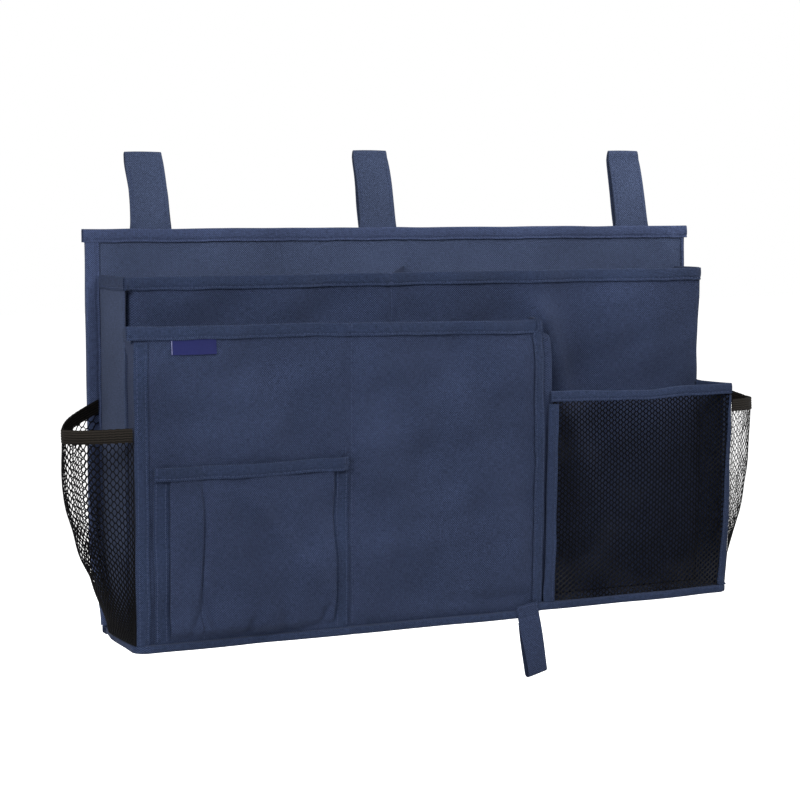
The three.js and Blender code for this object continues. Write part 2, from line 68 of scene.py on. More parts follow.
# The ways the caddy faces in the frame's axes: the front is away from the bed.
FRONT = np.array([0.0, -1.0, 0.0])
DOWN = np.array([0.0, 0.0, -1.0])
UP = -DOWN


def linear(hex_colour):
    """An sRGB hex colour as linear red, green and blue."""
    values = [(hex_colour >> shift & 255) / 255 for shift in (16, 8, 0)]
    return [v / 12.92 if v <= 0.04045 else ((v + 0.055) / 1.055) ** 2.4 for v in values]


class CaddySizes(bpy.types.PropertyGroup):
    """Sizes of the cloth, tape, net and thread."""

    cloth: bpy.props.FloatProperty(
        name="Cloth", description="Thickness of the cloth", default=0.0008, unit="LENGTH")
    tape: bpy.props.FloatProperty(
        name="Tape", description="Thickness of the edge tape", default=0.0008, unit="LENGTH")
    tape_gap: bpy.props.FloatProperty(
        name="Tape gap", description="Room between the cloth and each leg of the tape", default=0.0003,
        unit="LENGTH")
    tape_reach: bpy.props.FloatProperty(
        name="Tape reach", description="Depth of each leg of the tape", default=0.012, unit="LENGTH")
    seam_inset: bpy.props.FloatProperty(
        name="Seam inset", description="Stitch line to the tape's inner edge", default=0.002, unit="LENGTH")
    stitch_pitch: bpy.props.FloatProperty(
        name="Stitch pitch", description="Needle hole to needle hole", default=0.0038, unit="LENGTH")
    stitch_length: bpy.props.FloatProperty(
        name="Stitch length", description="Length of thread that shows", default=0.0027, unit="LENGTH")
    thread: bpy.props.FloatProperty(
        name="Thread", description="Diameter of the sewing thread", default=0.00075, unit="LENGTH")
    box_cord: bpy.props.FloatProperty(
        name="Box cord", description="Diameter of a strand of the box pocket's net", default=0.0013, unit="LENGTH")
    bottle_cord: bpy.props.FloatProperty(
        name="Bottle cord", description="Diameter of a strand of the bottle pockets' net", default=0.00095,
        unit="LENGTH")
    box_mesh: bpy.props.FloatProperty(
        name="Box mesh", description="Height of one hole of the box pocket's net, drawn coarse enough to show",
        default=0.005, unit="LENGTH")
    bottle_mesh: bpy.props.FloatProperty(
        name="Bottle mesh", description="Height of one hole of the bottle pockets' net", default=0.0058, unit="LENGTH")
    weave: bpy.props.FloatProperty(
        name="Weave", description="Pitch of the cloth's threads, drawn coarse enough to show", default=0.0022,
        unit="LENGTH")


class CaddyColours(bpy.types.PropertyGroup):
    """Colours of the cloth, tape, net and thread."""

    cloth: bpy.props.FloatVectorProperty(
        name="Cloth", description="Woven oxford cloth", subtype="COLOR", default=linear(0x2E374F))
    # Painted light: paler than the cloth, for the light that the back panel and straps catch.
    stiff: bpy.props.FloatVectorProperty(
        name="Stiff cloth", description="Backed cloth of the back panel and straps", subtype="COLOR",
        default=linear(0x3C465F))
    tape: bpy.props.FloatVectorProperty(
        name="Tape", description="Woven edge tape", subtype="COLOR", default=linear(0x2A344C))
    # Painted light: paler than the tape, like the back panel's cloth.
    stiff_tape: bpy.props.FloatVectorProperty(
        name="Stiff tape", description="Edge tape of the back panel", subtype="COLOR", default=linear(0x39435F))
    thread: bpy.props.FloatVectorProperty(
        name="Thread", description="Sewing thread", subtype="COLOR", default=linear(0x323D5A))
    box_net: bpy.props.FloatVectorProperty(
        name="Box net", description="Knitted net of the box pocket", subtype="COLOR", default=linear(0x19191B))
    net: bpy.props.FloatVectorProperty(
        name="Bottle net", description="Knitted net of the bottle pockets", subtype="COLOR",
        default=linear(0x101012))
    elastic: bpy.props.FloatVectorProperty(
        name="Elastic", description="Ribbed elastic band", subtype="COLOR", default=linear(0x1D1A17))
    grip: bpy.props.FloatVectorProperty(
        name="Hook and loop", description="Hook-and-loop patches", subtype="COLOR", default=linear(0x16181D))
    label: bpy.props.FloatVectorProperty(
        name="Label", description="Bare woven label", subtype="COLOR", default=linear(0x20244F))
    board: bpy.props.FloatVectorProperty(
        name="Board", description="Stiffening boards", subtype="COLOR", default=linear(0x8C8F92))


class CaddyStage(bpy.types.PropertyGroup):
    """Camera, floor and lamps."""

    azimuth: bpy.props.FloatProperty(
        name="Azimuth", description="Camera angle round the caddy", default=math.radians(-26.1), subtype="ANGLE")
    elevation: bpy.props.FloatProperty(
        name="Elevation", description="Camera angle above the caddy", default=math.radians(5.6), subtype="ANGLE")
    distance: bpy.props.FloatProperty(
        name="Distance", description="Camera to caddy", default=1.954, unit="LENGTH")
    lens: bpy.props.FloatProperty(
        name="Lens", description="Focal length in millimetres", default=90.72)
    target: bpy.props.FloatVectorProperty(
        name="Target", description="Point at the middle of the view", default=(-0.007, -0.0047, -0.167),
        subtype="TRANSLATION")
    floor_drop: bpy.props.FloatProperty(
        name="Floor drop", description="Top edge of the back panel to the floor", default=0.76, unit="LENGTH")
    top: bpy.props.FloatProperty(
        name="Top softbox", description="Power of the long softbox above the front", default=16.5, unit="POWER")
    key: bpy.props.FloatProperty(
        name="Left softbox", description="Power of the softbox at the left", default=48.0, unit="POWER")
    rear: bpy.props.FloatProperty(
        name="Rear softbox", description="Power of the softbox behind, which lights the rear cloth", default=34.0,
        unit="POWER")
    fill: bpy.props.FloatProperty(
        name="Fill", description="Strength of the soft light from all round", default=0.2)


def sizes():
    return bpy.context.scene.caddy_sizes


def smooth(start, end, value):
    """0 before start, 1 after end, and an even turn between them."""
    t = np.clip((np.asarray(value, float) - start) / (end - start), 0, 1)
    return t * t * (3 - 2 * t)


def fade(start, end, value):
    """1 before start, 0 after end, and an even turn between them."""
    return 1 - smooth(start, end, value)


def hump(value, middle, width):
    """A soft hump of height 1 round a middle."""
    return np.exp(-((value - middle) / width) ** 2)


def arch(share):
    """0 at both ends of a share from 0 to 1, and 1 halfway."""
    return np.sin(math.pi * share)


def dome(value, start, end):
    """0 at start and end, and 1 halfway, along a parabola."""
    return np.clip(1 - ((value - (start + end) / 2) / (end - start) * 2) ** 2, 0, 1)


def rumple(seed, a, b, size, amount):
    """A soft unevenness over two coordinates: a few crossing waves about one size long."""
    random = np.random.RandomState(seed)
    total = np.zeros(np.broadcast(a, b).shape)
    waves = 7
    for _ in range(waves):
        angle = random.uniform(0, math.pi)
        length = size * random.uniform(0.7, 1.6)
        phase = random.uniform(0, 2 * math.pi)
        total = total + np.sin((a * math.cos(angle) + b * math.sin(angle)) * 2 * math.pi / length + phase)
    return amount * total / math.sqrt(waves)


def box(node):
    """The lowest and highest corner of a solid, in millimetres."""
    low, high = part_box(node)
    return np.array(low) / MM, np.array(high) / MM


def spread(low, high, step):
    """Even places from low to high, about one step apart."""
    return np.linspace(low, high, max(int(round(abs(high - low) / step)), 1) + 1)


def at(x, y, z):
    """Points from their coordinates, each an array or one number for all of them."""
    return np.stack(np.broadcast_arrays(x, y, z), -1)


def straight(start, end, step=3.0):
    """Points on a straight line, about one step apart."""
    start, end = np.array(start, float), np.array(end, float)
    count = max(int(np.linalg.norm(end - start) / step), 1) + 1
    return start + (end - start) * np.linspace(0, 1, count)[:, None]


def run_along(line):
    """The distance along a line, at each of its points."""
    return np.concatenate([[0], np.cumsum(np.linalg.norm(np.diff(line, axis=0), axis=1))])


def unit(vectors):
    return vectors / np.maximum(np.linalg.norm(vectors, axis=-1, keepdims=True), 1e-12)


# Main planes and edges of the caddy, taken from its solids
middle_low, middle_high = box("middle_pocket_panel")
front_low, front_high = box("front_pocket_panel")
floor_line = front_low[2]
front_plane = front_low[1]
middle_plane = middle_low[1]
front_seam = sum(corner[0] for corner in box("front_pocket_divider")) / 2
middle_seam = box("middle_pocket_divider")[0][0]
box_left = box("box_pocket_left_binding")[0][0]
box_right = box("box_pocket_right_binding")[1][0]


def pinched(z):
    """How far the middle pocket's left front corner is pinched in: fully by its mouth, hardly lower down."""
    return 0.2 + 0.8 * smooth(-110, -92, z)


def settle(points):
    """Lets the sewn body settle: faces belly out, seams pull in, the long front edge sags and corners tuck in.

    The number before a shape is how far it moves the cloth, and those inside it are places in the frame or
    widths, all in millimetres. A shape from 0 to 1 between two places is smooth or fade."""
    p = np.array(points, float)
    x, y, z = np.moveaxis(p.copy(), -1, 0)
    above = z - floor_line
    beside_net = smooth(box_left - 0.4, box_left, x)
    at_front = smooth(front_plane + 22, front_plane + 5, y)
    on_front, on_net = at_front * (1 - beside_net), at_front * beside_net
    at_middle = smooth(middle_plane + 9, middle_plane + 2, y) * fade(middle_plane - 6, middle_plane - 14, y)
    at_back = smooth(-22, -8, y) * fade(-3.5, -2.5, y)

    # The two halves of the front pocket belly out, more on the right, over a roll of cloth by the floor.
    height = np.clip(above / (front_high[2] - floor_line), 0, 1)
    left, right = dome(x, front_low[0], front_seam), dome(x, front_seam, front_high[0])
    up = arch(height ** 0.7) + 0.35 * smooth(0, 0.05, height) * fade(0.1, 0.5, height)
    belly = 1.8 * left * up + 4.2 * right * up ** 0.9 + 1.6 * right * smooth(0.55, 1, height)
    easy = np.clip(2.5 * (left + right), 0, 1) * smooth(0, 0.1, height)
    belly = belly + (rumple(11, x, z, 115, 3.0) + rumple(12, x, z, 46, 0.9)) * easy
    roll = 2.4 * hump(above, 15, 5.5) * smooth(-60, 40, x) * fade(75, 98, x)

    # The seam between them draws in, and puckers the cloth beside it.
    beside = x - front_seam
    pucker = 0.55 * np.sin((z + 0.7 * beside) * 2 * math.pi / 12.5 + 0.7 * np.sin(z / 23))
    groove = 0.9 * hump(beside, 0, 2.6) + pucker * hump(beside, 0, 9) * smooth(0, 25, above)
    p[..., 1] += on_front * (groove + roll - belly)

    # The net pocket's face is slack, and its top edge dips.
    across = np.clip((x - box_left) / (box_right - box_left), 0, 1)
    slack = 1.2 + 1.6 * arch(np.clip(above / 200, 0, 1)) - rumple(23, x, z, 75, 0.8) * smooth(0, 15, above)
    lip = 1.2 * np.sin(across * 9.0 + 0.4) - 1.6
    p[..., 1] -= on_net * arch(across) * slack
    p[..., 2] += on_net * arch(across) * lip * smooth(-175, -156, z)

    # The middle panel has long easy waves, and swells out beside the front pocket.
    beyond = x - front_high[0]
    swell = 6.0 * smooth(60, 105, beyond) * fade(120, 195, beyond) * fade(-75, -35, z)
    ridge = 9.0 * hump(beyond + 0.3 * (z + 125), 26, 17) * fade(-88, -58, z)
    wave = rumple(31, x, z * 0.4, 105, 4.2) + rumple(32, x, z, 44, 0.7) - swell - ridge

    # Its seam and its right end draw in, and a deep valley runs down beside its pinched left corner.
    groove = 1.2 * hump(x, middle_seam, 3.0)
    under_tape = 1 - 0.85 * smooth(middle_high[2] - 14, middle_high[2] - 9, z)
    valley = 11.0 * hump(x, middle_low[0] + 5.5, 3.4) * under_tape * smooth(-110, -92, z)
    end = 3.0 * np.exp(np.minimum(x - middle_high[0], 0) / 4.0)
    p[..., 1] += at_middle * (wave * smooth(0, 60, above) + groove + valley + end)

    # The back panel creases between its two boards, and bends forward by its right edge.
    crease = 1.6 * hump(x, 0, 3.0) - 1.6 * hump(x + 0.2 * z, 296, 9) * smooth(-60, -15, z)
    p[..., 1] += at_back * (crease + rumple(41, x, z, 110, 0.7))

    # Three edges waver: the front pocket's right one, and the net pocket's left and right ones.
    by_right = smooth(floor_line - 1, floor_line + 1, z) * smooth(box_right - 60, box_right - 8, x)
    for share, heights, shifts in (
            (on_front * smooth(40, 99, x),
             (floor_line, -240, -200, -125, front_high[2]), (-3.0, -0.6, 0, -2.6, -4.6)),
            (on_net * fade(box_left + 10, box_left + 60, x), (floor_line, -200, -155), (-0.6, 2.0, 3.0)),
            (on_net * by_right, (floor_line, -330, -290, -200), (-5.6, -3.2, -0.8, 0))):
        p[..., 0] += share * np.interp(z, heights, shifts)

    # The lower back corners tuck in towards the base, the panel's more than the base's.
    tuck = 10.0 * smooth(-285, floor_line, z) * smooth(285, 312, np.abs(x)) * smooth(-40, -6, y)
    p[..., 0] -= np.sign(x) * tuck * (1 - 0.6 * smooth(floor_line, floor_line - 1.5, z))

    # The front edge sags, most at the pull loop, and the left end behind it hangs a little low.
    sag = (3.4 + 2.2 * np.clip((x + 300) / 385, 0, 1) ** 1.2) * fade(80, 97, x) * smooth(-62, -96, y)
    corner = 3.0 * fade(-306, -260, x) * fade(-62, -96, y)
    p[..., 2] -= (sag + corner) * smooth(-290, -350, z)
    return p


def sheet(grid, thickness):
    """Points, four-sided faces and cloth coordinates of an even sheet round a grid of points."""
    rows, columns = grid.shape[:2]
    along = np.gradient(grid, axis=0)
    across = np.gradient(grid, axis=1)
    normal = unit(np.cross(along, across))
    count = rows * columns
    points = np.concatenate([(grid + normal * thickness / 2).reshape(-1, 3),
                             (grid - normal * thickness / 2).reshape(-1, 3)])
    index = np.arange(count).reshape(rows, columns)
    a, b, c, d = index[:-1, :-1], index[1:, :-1], index[1:, 1:], index[:-1, 1:]
    faces = [np.stack([a, b, c, d], -1).reshape(-1, 4),
             np.stack([d, c, b, a], -1).reshape(-1, 4) + count]
    rim = np.concatenate([index[0, :-1], index[:-1, -1], index[-1, :0:-1], index[:0:-1, 0]])
    following = np.roll(rim, -1)
    faces.append(np.stack([rim, following, following + count, rim + count], -1))
    u = np.zeros((rows, columns))
    v = np.zeros((rows, columns))
    u[:, 1:] = np.cumsum(np.linalg.norm(np.diff(grid, axis=1), axis=2).mean(0))
    v[1:, :] = np.cumsum(np.linalg.norm(np.diff(grid, axis=0), axis=2).mean(1))[:, None]
    flat = np.stack([u, v], -1).reshape(-1, 2)
    return points, np.concatenate(faces), np.concatenate([flat, flat])


def tubes(lines, normals, radius, sides):
    """Round strands along several lines with the same number of points each."""
    strands, count = lines.shape[:2]
    radius = np.broadcast_to(radius, (strands, count))[:, :, None]
    tangent = unit(np.gradient(lines, axis=1))
    side = unit(np.cross(tangent, normals))
    lift = unit(np.cross(side, tangent))
    angles = np.arange(sides) * 2 * math.pi / sides + math.pi / sides
    ring = lines[:, :, None] + radius[..., None] * (np.cos(angles)[:, None] * side[:, :, None]
                                                    + np.sin(angles)[:, None] * lift[:, :, None])
    points = ring.reshape(-1, 3)
    index = np.arange(strands * count * sides).reshape(strands, count, sides)
    following = np.roll(index, -1, axis=2)
    walls = np.stack([index[:, :-1], following[:, :-1], following[:, 1:], index[:, 1:]], -1).reshape(-1, 4)
    faces = [walls]
    for k in range((sides - 2) // 2):
        corners = [0, 2 * k + 1, 2 * k + 2, 2 * k + 3]
        faces.append(index[:, 0][:, corners[::-1]])
        faces.append(index[:, -1][:, corners])
    run = np.zeros((strands, count))
    run[:, 1:] = np.cumsum(np.linalg.norm(np.diff(lines, axis=1), axis=2), axis=1)
    u = np.arange(sides) * 2 * math.pi * radius / sides
    v = np.broadcast_to(run[:, :, None], (strands, count, sides))
    return points, np.concatenate(faces), np.stack([u, v], -1).reshape(-1, 2)


def joined(parts):
    """Several meshes as one."""
    points, faces, flats, start = [], [], [], 0
    for part_points, part_faces, part_flat in parts:
        points.append(part_points)
        faces.append(part_faces + start)
        flats.append(part_flat)
        start += len(part_points)
    return np.concatenate(points), np.concatenate(faces), np.concatenate(flats)


def outward(points, faces):
    """The faces, turned so that they enclose a positive volume."""
    a, b, c, d = (points[faces[:, k]] for k in range(4))
    volume = np.einsum("ij,ij->i", a, np.cross(b, c)).sum() + np.einsum("ij,ij->i", a, np.cross(c, d)).sum()
    return faces if volume > 0 else faces[:, ::-1]


def piece(name, parts, material, replaces=(), body="caddy_body", sharp=50):
    """Makes one object from its meshes and gives it to a body of the frame."""
    turned = [(points, outward(points, faces), flat) for points, faces, flat in parts]
    points, faces, flat = joined(turned)
    mesh = bpy.data.meshes.new(name)
    mesh.from_pydata((points * MM).tolist(), [], faces.tolist())
    layer = mesh.uv_layers.new(name="cloth_run")
    layer.data.foreach_set("uv", (flat[faces.reshape(-1)] * MM).ravel())
    mesh.polygons.foreach_set("use_smooth", np.ones(len(faces), bool))
    mesh.set_sharp_from_angle(angle=math.radians(sharp))
    mesh.materials.append(bpy.data.materials[material])
    made = bpy.data.objects.new(name, mesh)
    bpy.context.scene.collection.objects.link(made)
    if body:
        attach(made, body)
    if replaces:
        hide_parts(*replaces)
    return made


def stitch_run(path, facing):
    """A row of stitches along a path that lies on the cloth, each a short thread that dips in at both ends."""
    s = sizes()
    pitch, length, radius = s.stitch_pitch / MM, s.stitch_length / MM, s.thread / MM / 2
    run = run_along(path)
    starts = np.arange(0.4, run[-1] - length, pitch)
    if not len(starts):
        return None
    shares = np.array([0.0, 0.2, 0.5, 0.8, 1.0])
    rise = np.array([-0.3, 0.16, 0.3, 0.16, -0.3]) * 2 * radius
    places = starts[:, None] + shares * length
    facing = np.broadcast_to(facing, path.shape)
    lines, lifts = (np.stack([np.interp(places, run, part[:, k]) for k in range(3)], -1) for part in (path, facing))
    lifts = unit(lifts)
    return tubes(lines + lifts * rise[:, None], lifts, radius, 6)


def row_of_stitches(name, rows, body="caddy_body"):
    """One object that holds several rows of stitches, each given by its path and the way it faces."""
    made = [stitch_run(path, facing) for path, facing in rows]
    made = [part for part in made if part is not None]
    return piece(name, made, "polyester_sewing_thread", body=body, sharp=80)


def line_on(points, lift):
    """A stitch path on settled cloth that faces the front, raised a little."""
    return settle(points) + FRONT * lift, FRONT


def line_up(x, y, start, end, lift, step=3.0):
    """The same, straight up or down between two heights."""
    return line_on(straight((x, y, start), (x, y, end), step), lift)


def folded_tape(edge, across, inward, leaf, front_reach, back_reach, seed, waver):
    """A tape folded over an edge, as a sheet, and the stitch lines on its two legs.

    edge is a line of points on the fold's crest, across points to the front leg, inward points to the cloth,
    and leaf is the distance from the cloth's middle to the middle of a leg."""
    s = sizes()
    thick, inset = s.tape / MM, s.seam_inset / MM
    run = run_along(edge)
    edge = edge + inward * rumple(seed, run, 0, 55, waver)[:, None]
    edge = edge + across * rumple(seed + 1, run, 0, 70, waver * 0.6)[:, None]
    front_reach = front_reach + rumple(seed + 2, run, 0, 28, 0.2)
    wander = rumple(seed + 3, run, 0, 60, 1.2)
    bend = min(leaf, 1.3)
    first = thick / 2 + bend
    legs = np.array([1.0, 0.965, 0.92, 0.87, 0.82, 0.76, 0.68, 0.54, 0.36, 0.18, 0.0])
    bends = (0.35, 0.8, 1.25)
    columns = []
    for share in legs:
        b = first + (front_reach - first) * share
        # A leg has a bead at its raw edge, is pulled in along its seam, and puckers between the two.
        bead = 0.5 * hump(front_reach - b, 0.5, 0.9)
        pull = 0.42 * hump(b - (front_reach - inset), 0, 0.8)
        pucker = 0.2 * np.sin(2 * math.pi * (run / 6.8 + b / 11) + wander) * smooth(0.1, 0.6, share)
        dip = pull - bead - pucker - 2.4 * (1 - share) * share
        columns.append(edge + across * (leaf - dip)[:, None] + inward * b[:, None])
    for side, angles in ((1, bends), (-1, bends[::-1])):
        for angle in angles:
            a = side * (leaf - bend + bend * math.cos(angle))
            columns.append(edge + across * a + inward * (first - bend * math.sin(angle)))
    for share in legs[::-1]:
        columns.append(edge - across * leaf + inward * (first + (back_reach - first) * share))
    lift = leaf + thick / 2 - 0.2
    front_line = edge + across * lift + inward * (front_reach - inset)[:, None]
    back_line = edge - across * lift + inward * (back_reach - inset)
    return np.stack(columns, axis=1), (front_line, across), (back_line, -across)


def bound_edge(name, node, edge, across, inward, leaf, reach, seed, waver=0.35, front_reach=None,
               back_stitches=True, material="woven_polyester_edge_tape"):
    """A taped edge with its rows of stitches. across and inward are one vector, or one for each point."""
    across, inward = np.broadcast_to(across, edge.shape), np.broadcast_to(inward, edge.shape)
    front_reach = reach if front_reach is None else front_reach
    grid, front, back = folded_tape(edge, across, inward, leaf, front_reach, reach, seed, waver)
    piece(name, [sheet(settle(grid), sizes().tape / MM)], material, [node])
    rows = [front, back] if back_stitches else [front]
    row_of_stitches(name + "_stitches", [(settle(line), facing) for line, facing in rows])


def top_tape(place, middle, leaf, reach, seed, waver, inset=0.0, **more):
    """The tape along the top of a panel that faces the front."""
    node = f"{place}_top_binding"
    low, high = box(node)
    edge = straight((low[0] + inset, middle, high[2]), (high[0], middle, high[2]))
    bound_edge(f"{place}_top_tape", node, edge, FRONT, DOWN, leaf, reach, seed, waver, **more)


def side_edge(node, sign, middle, rise=0.0):
    """The upright outer edge of a side tape."""
    low, high = box(node)
    x = low[0] if sign < 0 else high[0]
    return straight((x, middle, low[2]), (x, middle, high[2] + rise))


def mouth_tape(name, node, sign, start, end, seed):
    """The tape over the mouth of a side wall, between two points."""
    edge = straight(start, end)
    outwards = unit(np.cross(edge[-1] - edge[0], UP))
    outwards = outwards if outwards[0] * sign > 0 else -outwards
    s = sizes()
    bound_edge(name, node, edge, outwards, DOWN, leaf_over(s.cloth / MM), s.tape_reach / MM, seed, waver=0.15)


def leaf_over(stack):
    """From the middle of a stack of cloth to the middle of a tape's leg over it."""
    s = sizes()
    return stack / 2 + (s.tape_gap + s.tape / 2) / MM


def cloth_panel(name, node, step, left_inset=0.0, material="woven_oxford_cloth"):
    """An upright panel that faces the front, in the place of its solid."""
    low, high = box(node)
    share, z = np.meshgrid(spread(0, 1, step / (high[0] - low[0])), spread(low[2], high[2], step))
    start = low[0] + left_inset * pinched(z)
    grid = at(start + (high[0] - start) * share, (low[1] + high[1]) / 2, z)
    made = piece(name, [sheet(settle(grid), sizes().cloth / MM)], material, [node])


def board_sheet(name, node, axes, steps, spare):
    """A stiffening board between two cloths. It lies along two axes, and is thinner than its solid by spare."""
    low, high = box(node)
    points = list((low + high) / 2)
    points[axes[0]], points[axes[1]] = np.meshgrid(*(spread(low[k], high[k], step) for k, step in zip(axes, steps)))
    thick = min(high - low) - spare
    piece(name, [sheet(settle(at(*points)), thick)], "moulded_polyethylene", [node])


def side_wall(name, node, *, back_is_left, bulge, tuck=0.0, steps=18, rise=0.0, lift=None, height_step=6.0, shape=None,
              material="woven_oxford_cloth", behind=0.0):
    """An upright cloth between a rear and a front plan point, with a bulge of its own and a tuck at its front."""
    low, high = box(node)
    thick = sizes().cloth / MM
    ends = (low[0] + thick / 2, high[0] - thick / 2)
    ends = ends if back_is_left else ends[::-1]
    # The steps are finer towards the front, where a tuck turns the cloth in its last eighth.
    share = 1 - (1 - np.linspace(0, 1, steps + 1)) ** 1.7
    s, z = np.meshgrid(share, spread(low[2], high[2] - rise, height_step))
    reach = np.clip(s / (0.88 if tuck else 1.0), 0, 1)
    tall = (z - low[2]) / (high[2] - rise - low[2])
    x = ends[0] + (ends[1] - ends[0]) * reach
    x = x + bulge * arch(s) * arch(np.clip(tall, 0, 1)) ** 0.7
    x = x + tuck * smooth(0.86, 1.0, s) * (pinched(z) if tuck > 4 else 1)
    if shape is not None:
        x = x + shape(s, z)
    y = high[1] + behind + (low[1] - high[1] - behind) * reach
    grid = at(x, y, z + (rise if lift is None else lift) * (1 - s) * tall)
    made = piece(name, [sheet(settle(grid), thick)], material, [node])


class CADDY_OT_back_panel(bpy.types.Operator):
    """Sews the stiff back panel: two cloths over two boards, bound on three sides"""

    bl_idname = "caddy.back_panel"
    bl_label = "Back Panel"

    def execute(self, context):
        s = sizes()
        # Painted light: the back panel's cloth is painted paler than the rest.
        cloth_panel("back_panel_front", "back_panel_front_cloth", 5, material="painted_lit_oxford_cloth")
        cloth_panel("back_panel_rear", "back_panel_rear_cloth", 9, material="painted_lit_oxford_cloth")
        low, high = box("back_panel_top_binding")
        leaf = leaf_over(high[1] - low[1] - 2 * (s.tape + s.tape_gap) / MM)
        middle = (low[1] + high[1]) / 2
        reach, right_reach = s.tape_reach / MM, 4.2
        # Painted light: the back panel's tapes are painted paler than the other tape.
        top_tape("back_panel", middle, leaf, reach, seed=5, waver=0.2, material="painted_lit_edge_tape")
        for side, sign, seed in (("left", -1, 60), ("right", 1, 70)):
            node = f"back_panel_{side}_binding"
            bound_edge(f"back_panel_{side}_tape", node, side_edge(node, sign, middle), FRONT, (-sign, 0, 0), leaf,
                       reach, seed, waver=0.3, front_reach=reach if sign < 0 else right_reach,
                       material="painted_lit_edge_tape")
            board_sheet(f"back_panel_{side}_board_sheet", f"back_panel_board_{side}", axes=(0, 2), steps=(8, 8),
                        spare=0.6)
        return {"FINISHED"}


def base_outline():
    """The base's front edge in plan, from the left rear round both front corners to the right rear."""
    low, high = box("base_front_binding")
    half, front, rear = high[0], low[1], high[1]
    radius = 14.0
    turn = np.linspace(0, math.pi / 2, 9)
    left = straight((-half, rear, 0), (-half, front + radius, 0), 4.0)[:, :2]
    corner = np.stack([-half + radius - radius * np.cos(turn), front + radius - radius * np.sin(turn)], -1)
    across = straight((-half + radius, front, 0), (half - radius, front, 0), 4.0)[:, :2]
    mirror = [-1, 1]
    return np.concatenate([left, corner[1:], across[1:], corner[-2::-1] * mirror, left[-2::-1] * mirror])


def base_cloth(name, node):
    """A flat cloth with two round front corners, in the place of its solid."""
    low, high = box(node)
    radius, rows = 13.0, 17
    x = np.unique(np.concatenate([spread(low[0], low[0] + radius, 1.5), spread(low[0] + radius, high[0] - radius, 6),
                                  spread(high[0] - radius, high[0], 1.5)]))
    beyond = np.clip(np.abs(x - (low[0] + high[0]) / 2) - ((high[0] - low[0]) / 2 - radius), 0, radius)
    front = low[1] + radius - np.sqrt(np.maximum(radius ** 2 - beyond ** 2, 0))
    grid = at(x, front + (high[1] - front) * np.linspace(0, 1, rows)[:, None], (low[2] + high[2]) / 2)
    made = piece(name, [sheet(settle(grid), sizes().cloth / MM)], "woven_oxford_cloth", [node])


class CADDY_OT_base(bpy.types.Operator):
    """Sews the base: two cloths over a board, bound all round with round front corners"""

    bl_idname = "caddy.base"
    bl_label = "Base"

    def execute(self, context):
        s = sizes()
        base_cloth("base_under", "base_under_cloth")
        base_cloth("base_top", "base_top_cloth")
        board_sheet("base_board_sheet", "base_board", axes=(0, 1), steps=(8, 6), spare=0.1)
        low, high = box("base_front_binding")
        middle = (low[2] + high[2]) / 2
        leaf = leaf_over(high[2] - low[2] - 2 * (s.tape + s.tape_gap) / MM)
        reach = 11.0
        plan = base_outline()
        edge = at(plan[:, 0], plan[:, 1], middle)
        inward = unit(np.cross(UP, unit(np.gradient(edge, axis=0))))
        bound_edge("base_front_tape", "base_front_binding", edge, UP, inward, leaf, reach, seed=80)
        low, high = box("base_rear_binding")
        edge = straight((low[0], high[1], middle), (high[0], high[1], middle))
        bound_edge("base_rear_tape", "base_rear_binding", edge, UP, FRONT, leaf, reach, seed=85, waver=0.2)
        return {"FINISHED"}


class CADDY_OT_middle_pocket(bpy.types.Operator):
    """Sews the middle pocket: a wide panel on two side gussets with a slanting divider"""

    bl_idname = "caddy.middle_pocket"
    bl_label = "Middle Pocket"

    def execute(self, context):
        s = sizes()
        cloth_panel("middle_pocket_face", "middle_pocket_panel", 2.5, left_inset=5.5)
        # Painted light: the gussets take the darker copy of the back panel's paler cloth.
        pressed = "dimmer_painted_lit_cloth"
        side_wall("middle_pocket_left_side", "middle_pocket_left_gusset", back_is_left=True, bulge=-1.5, tuck=5.5,
                  steps=34, material=pressed)
        side_wall("middle_pocket_right_side", "middle_pocket_right_gusset", back_is_left=False, bulge=1.5, tuck=-2.5,
                  material=pressed)
        side_wall("middle_pocket_web", "middle_pocket_divider", back_is_left=False, bulge=-3.0, rise=14.0, lift=5.0)
        low, high = box("middle_pocket_top_binding")
        top_tape("middle_pocket", (low[1] + high[1]) / 2, leaf_over(s.cloth / MM), s.tape_reach / MM, seed=90,
                 waver=0.3)
        for side, sign, seed in (("left", -1, 94), ("right", 1, 97)):
            node = f"middle_pocket_{side}_gusset_binding"
            low, high = box(node)
            start, end = (low[0] + 1.5, high[0] - 1.5)[::-sign]
            mouth_tape(f"middle_pocket_{side}_side_tape", node, sign, (start, high[1], high[2]),
                       (end, low[1], high[2]), seed)
        top = middle_high[2]
        rows = [line_up(middle_seam, middle_plane - 0.1, floor_line + 2, top - 11, 0.12)]
        # Three rows side by side tack the seam down under the tape.
        rows += [line_up(middle_seam + shift, middle_plane - 1.3, top + 0.8, top - 10.5, 0.25)
                 for shift in (-1.2, 0, 1.2)]
        row_of_stitches("middle_pocket_seam_stitches", rows)
        return {"FINISHED"}


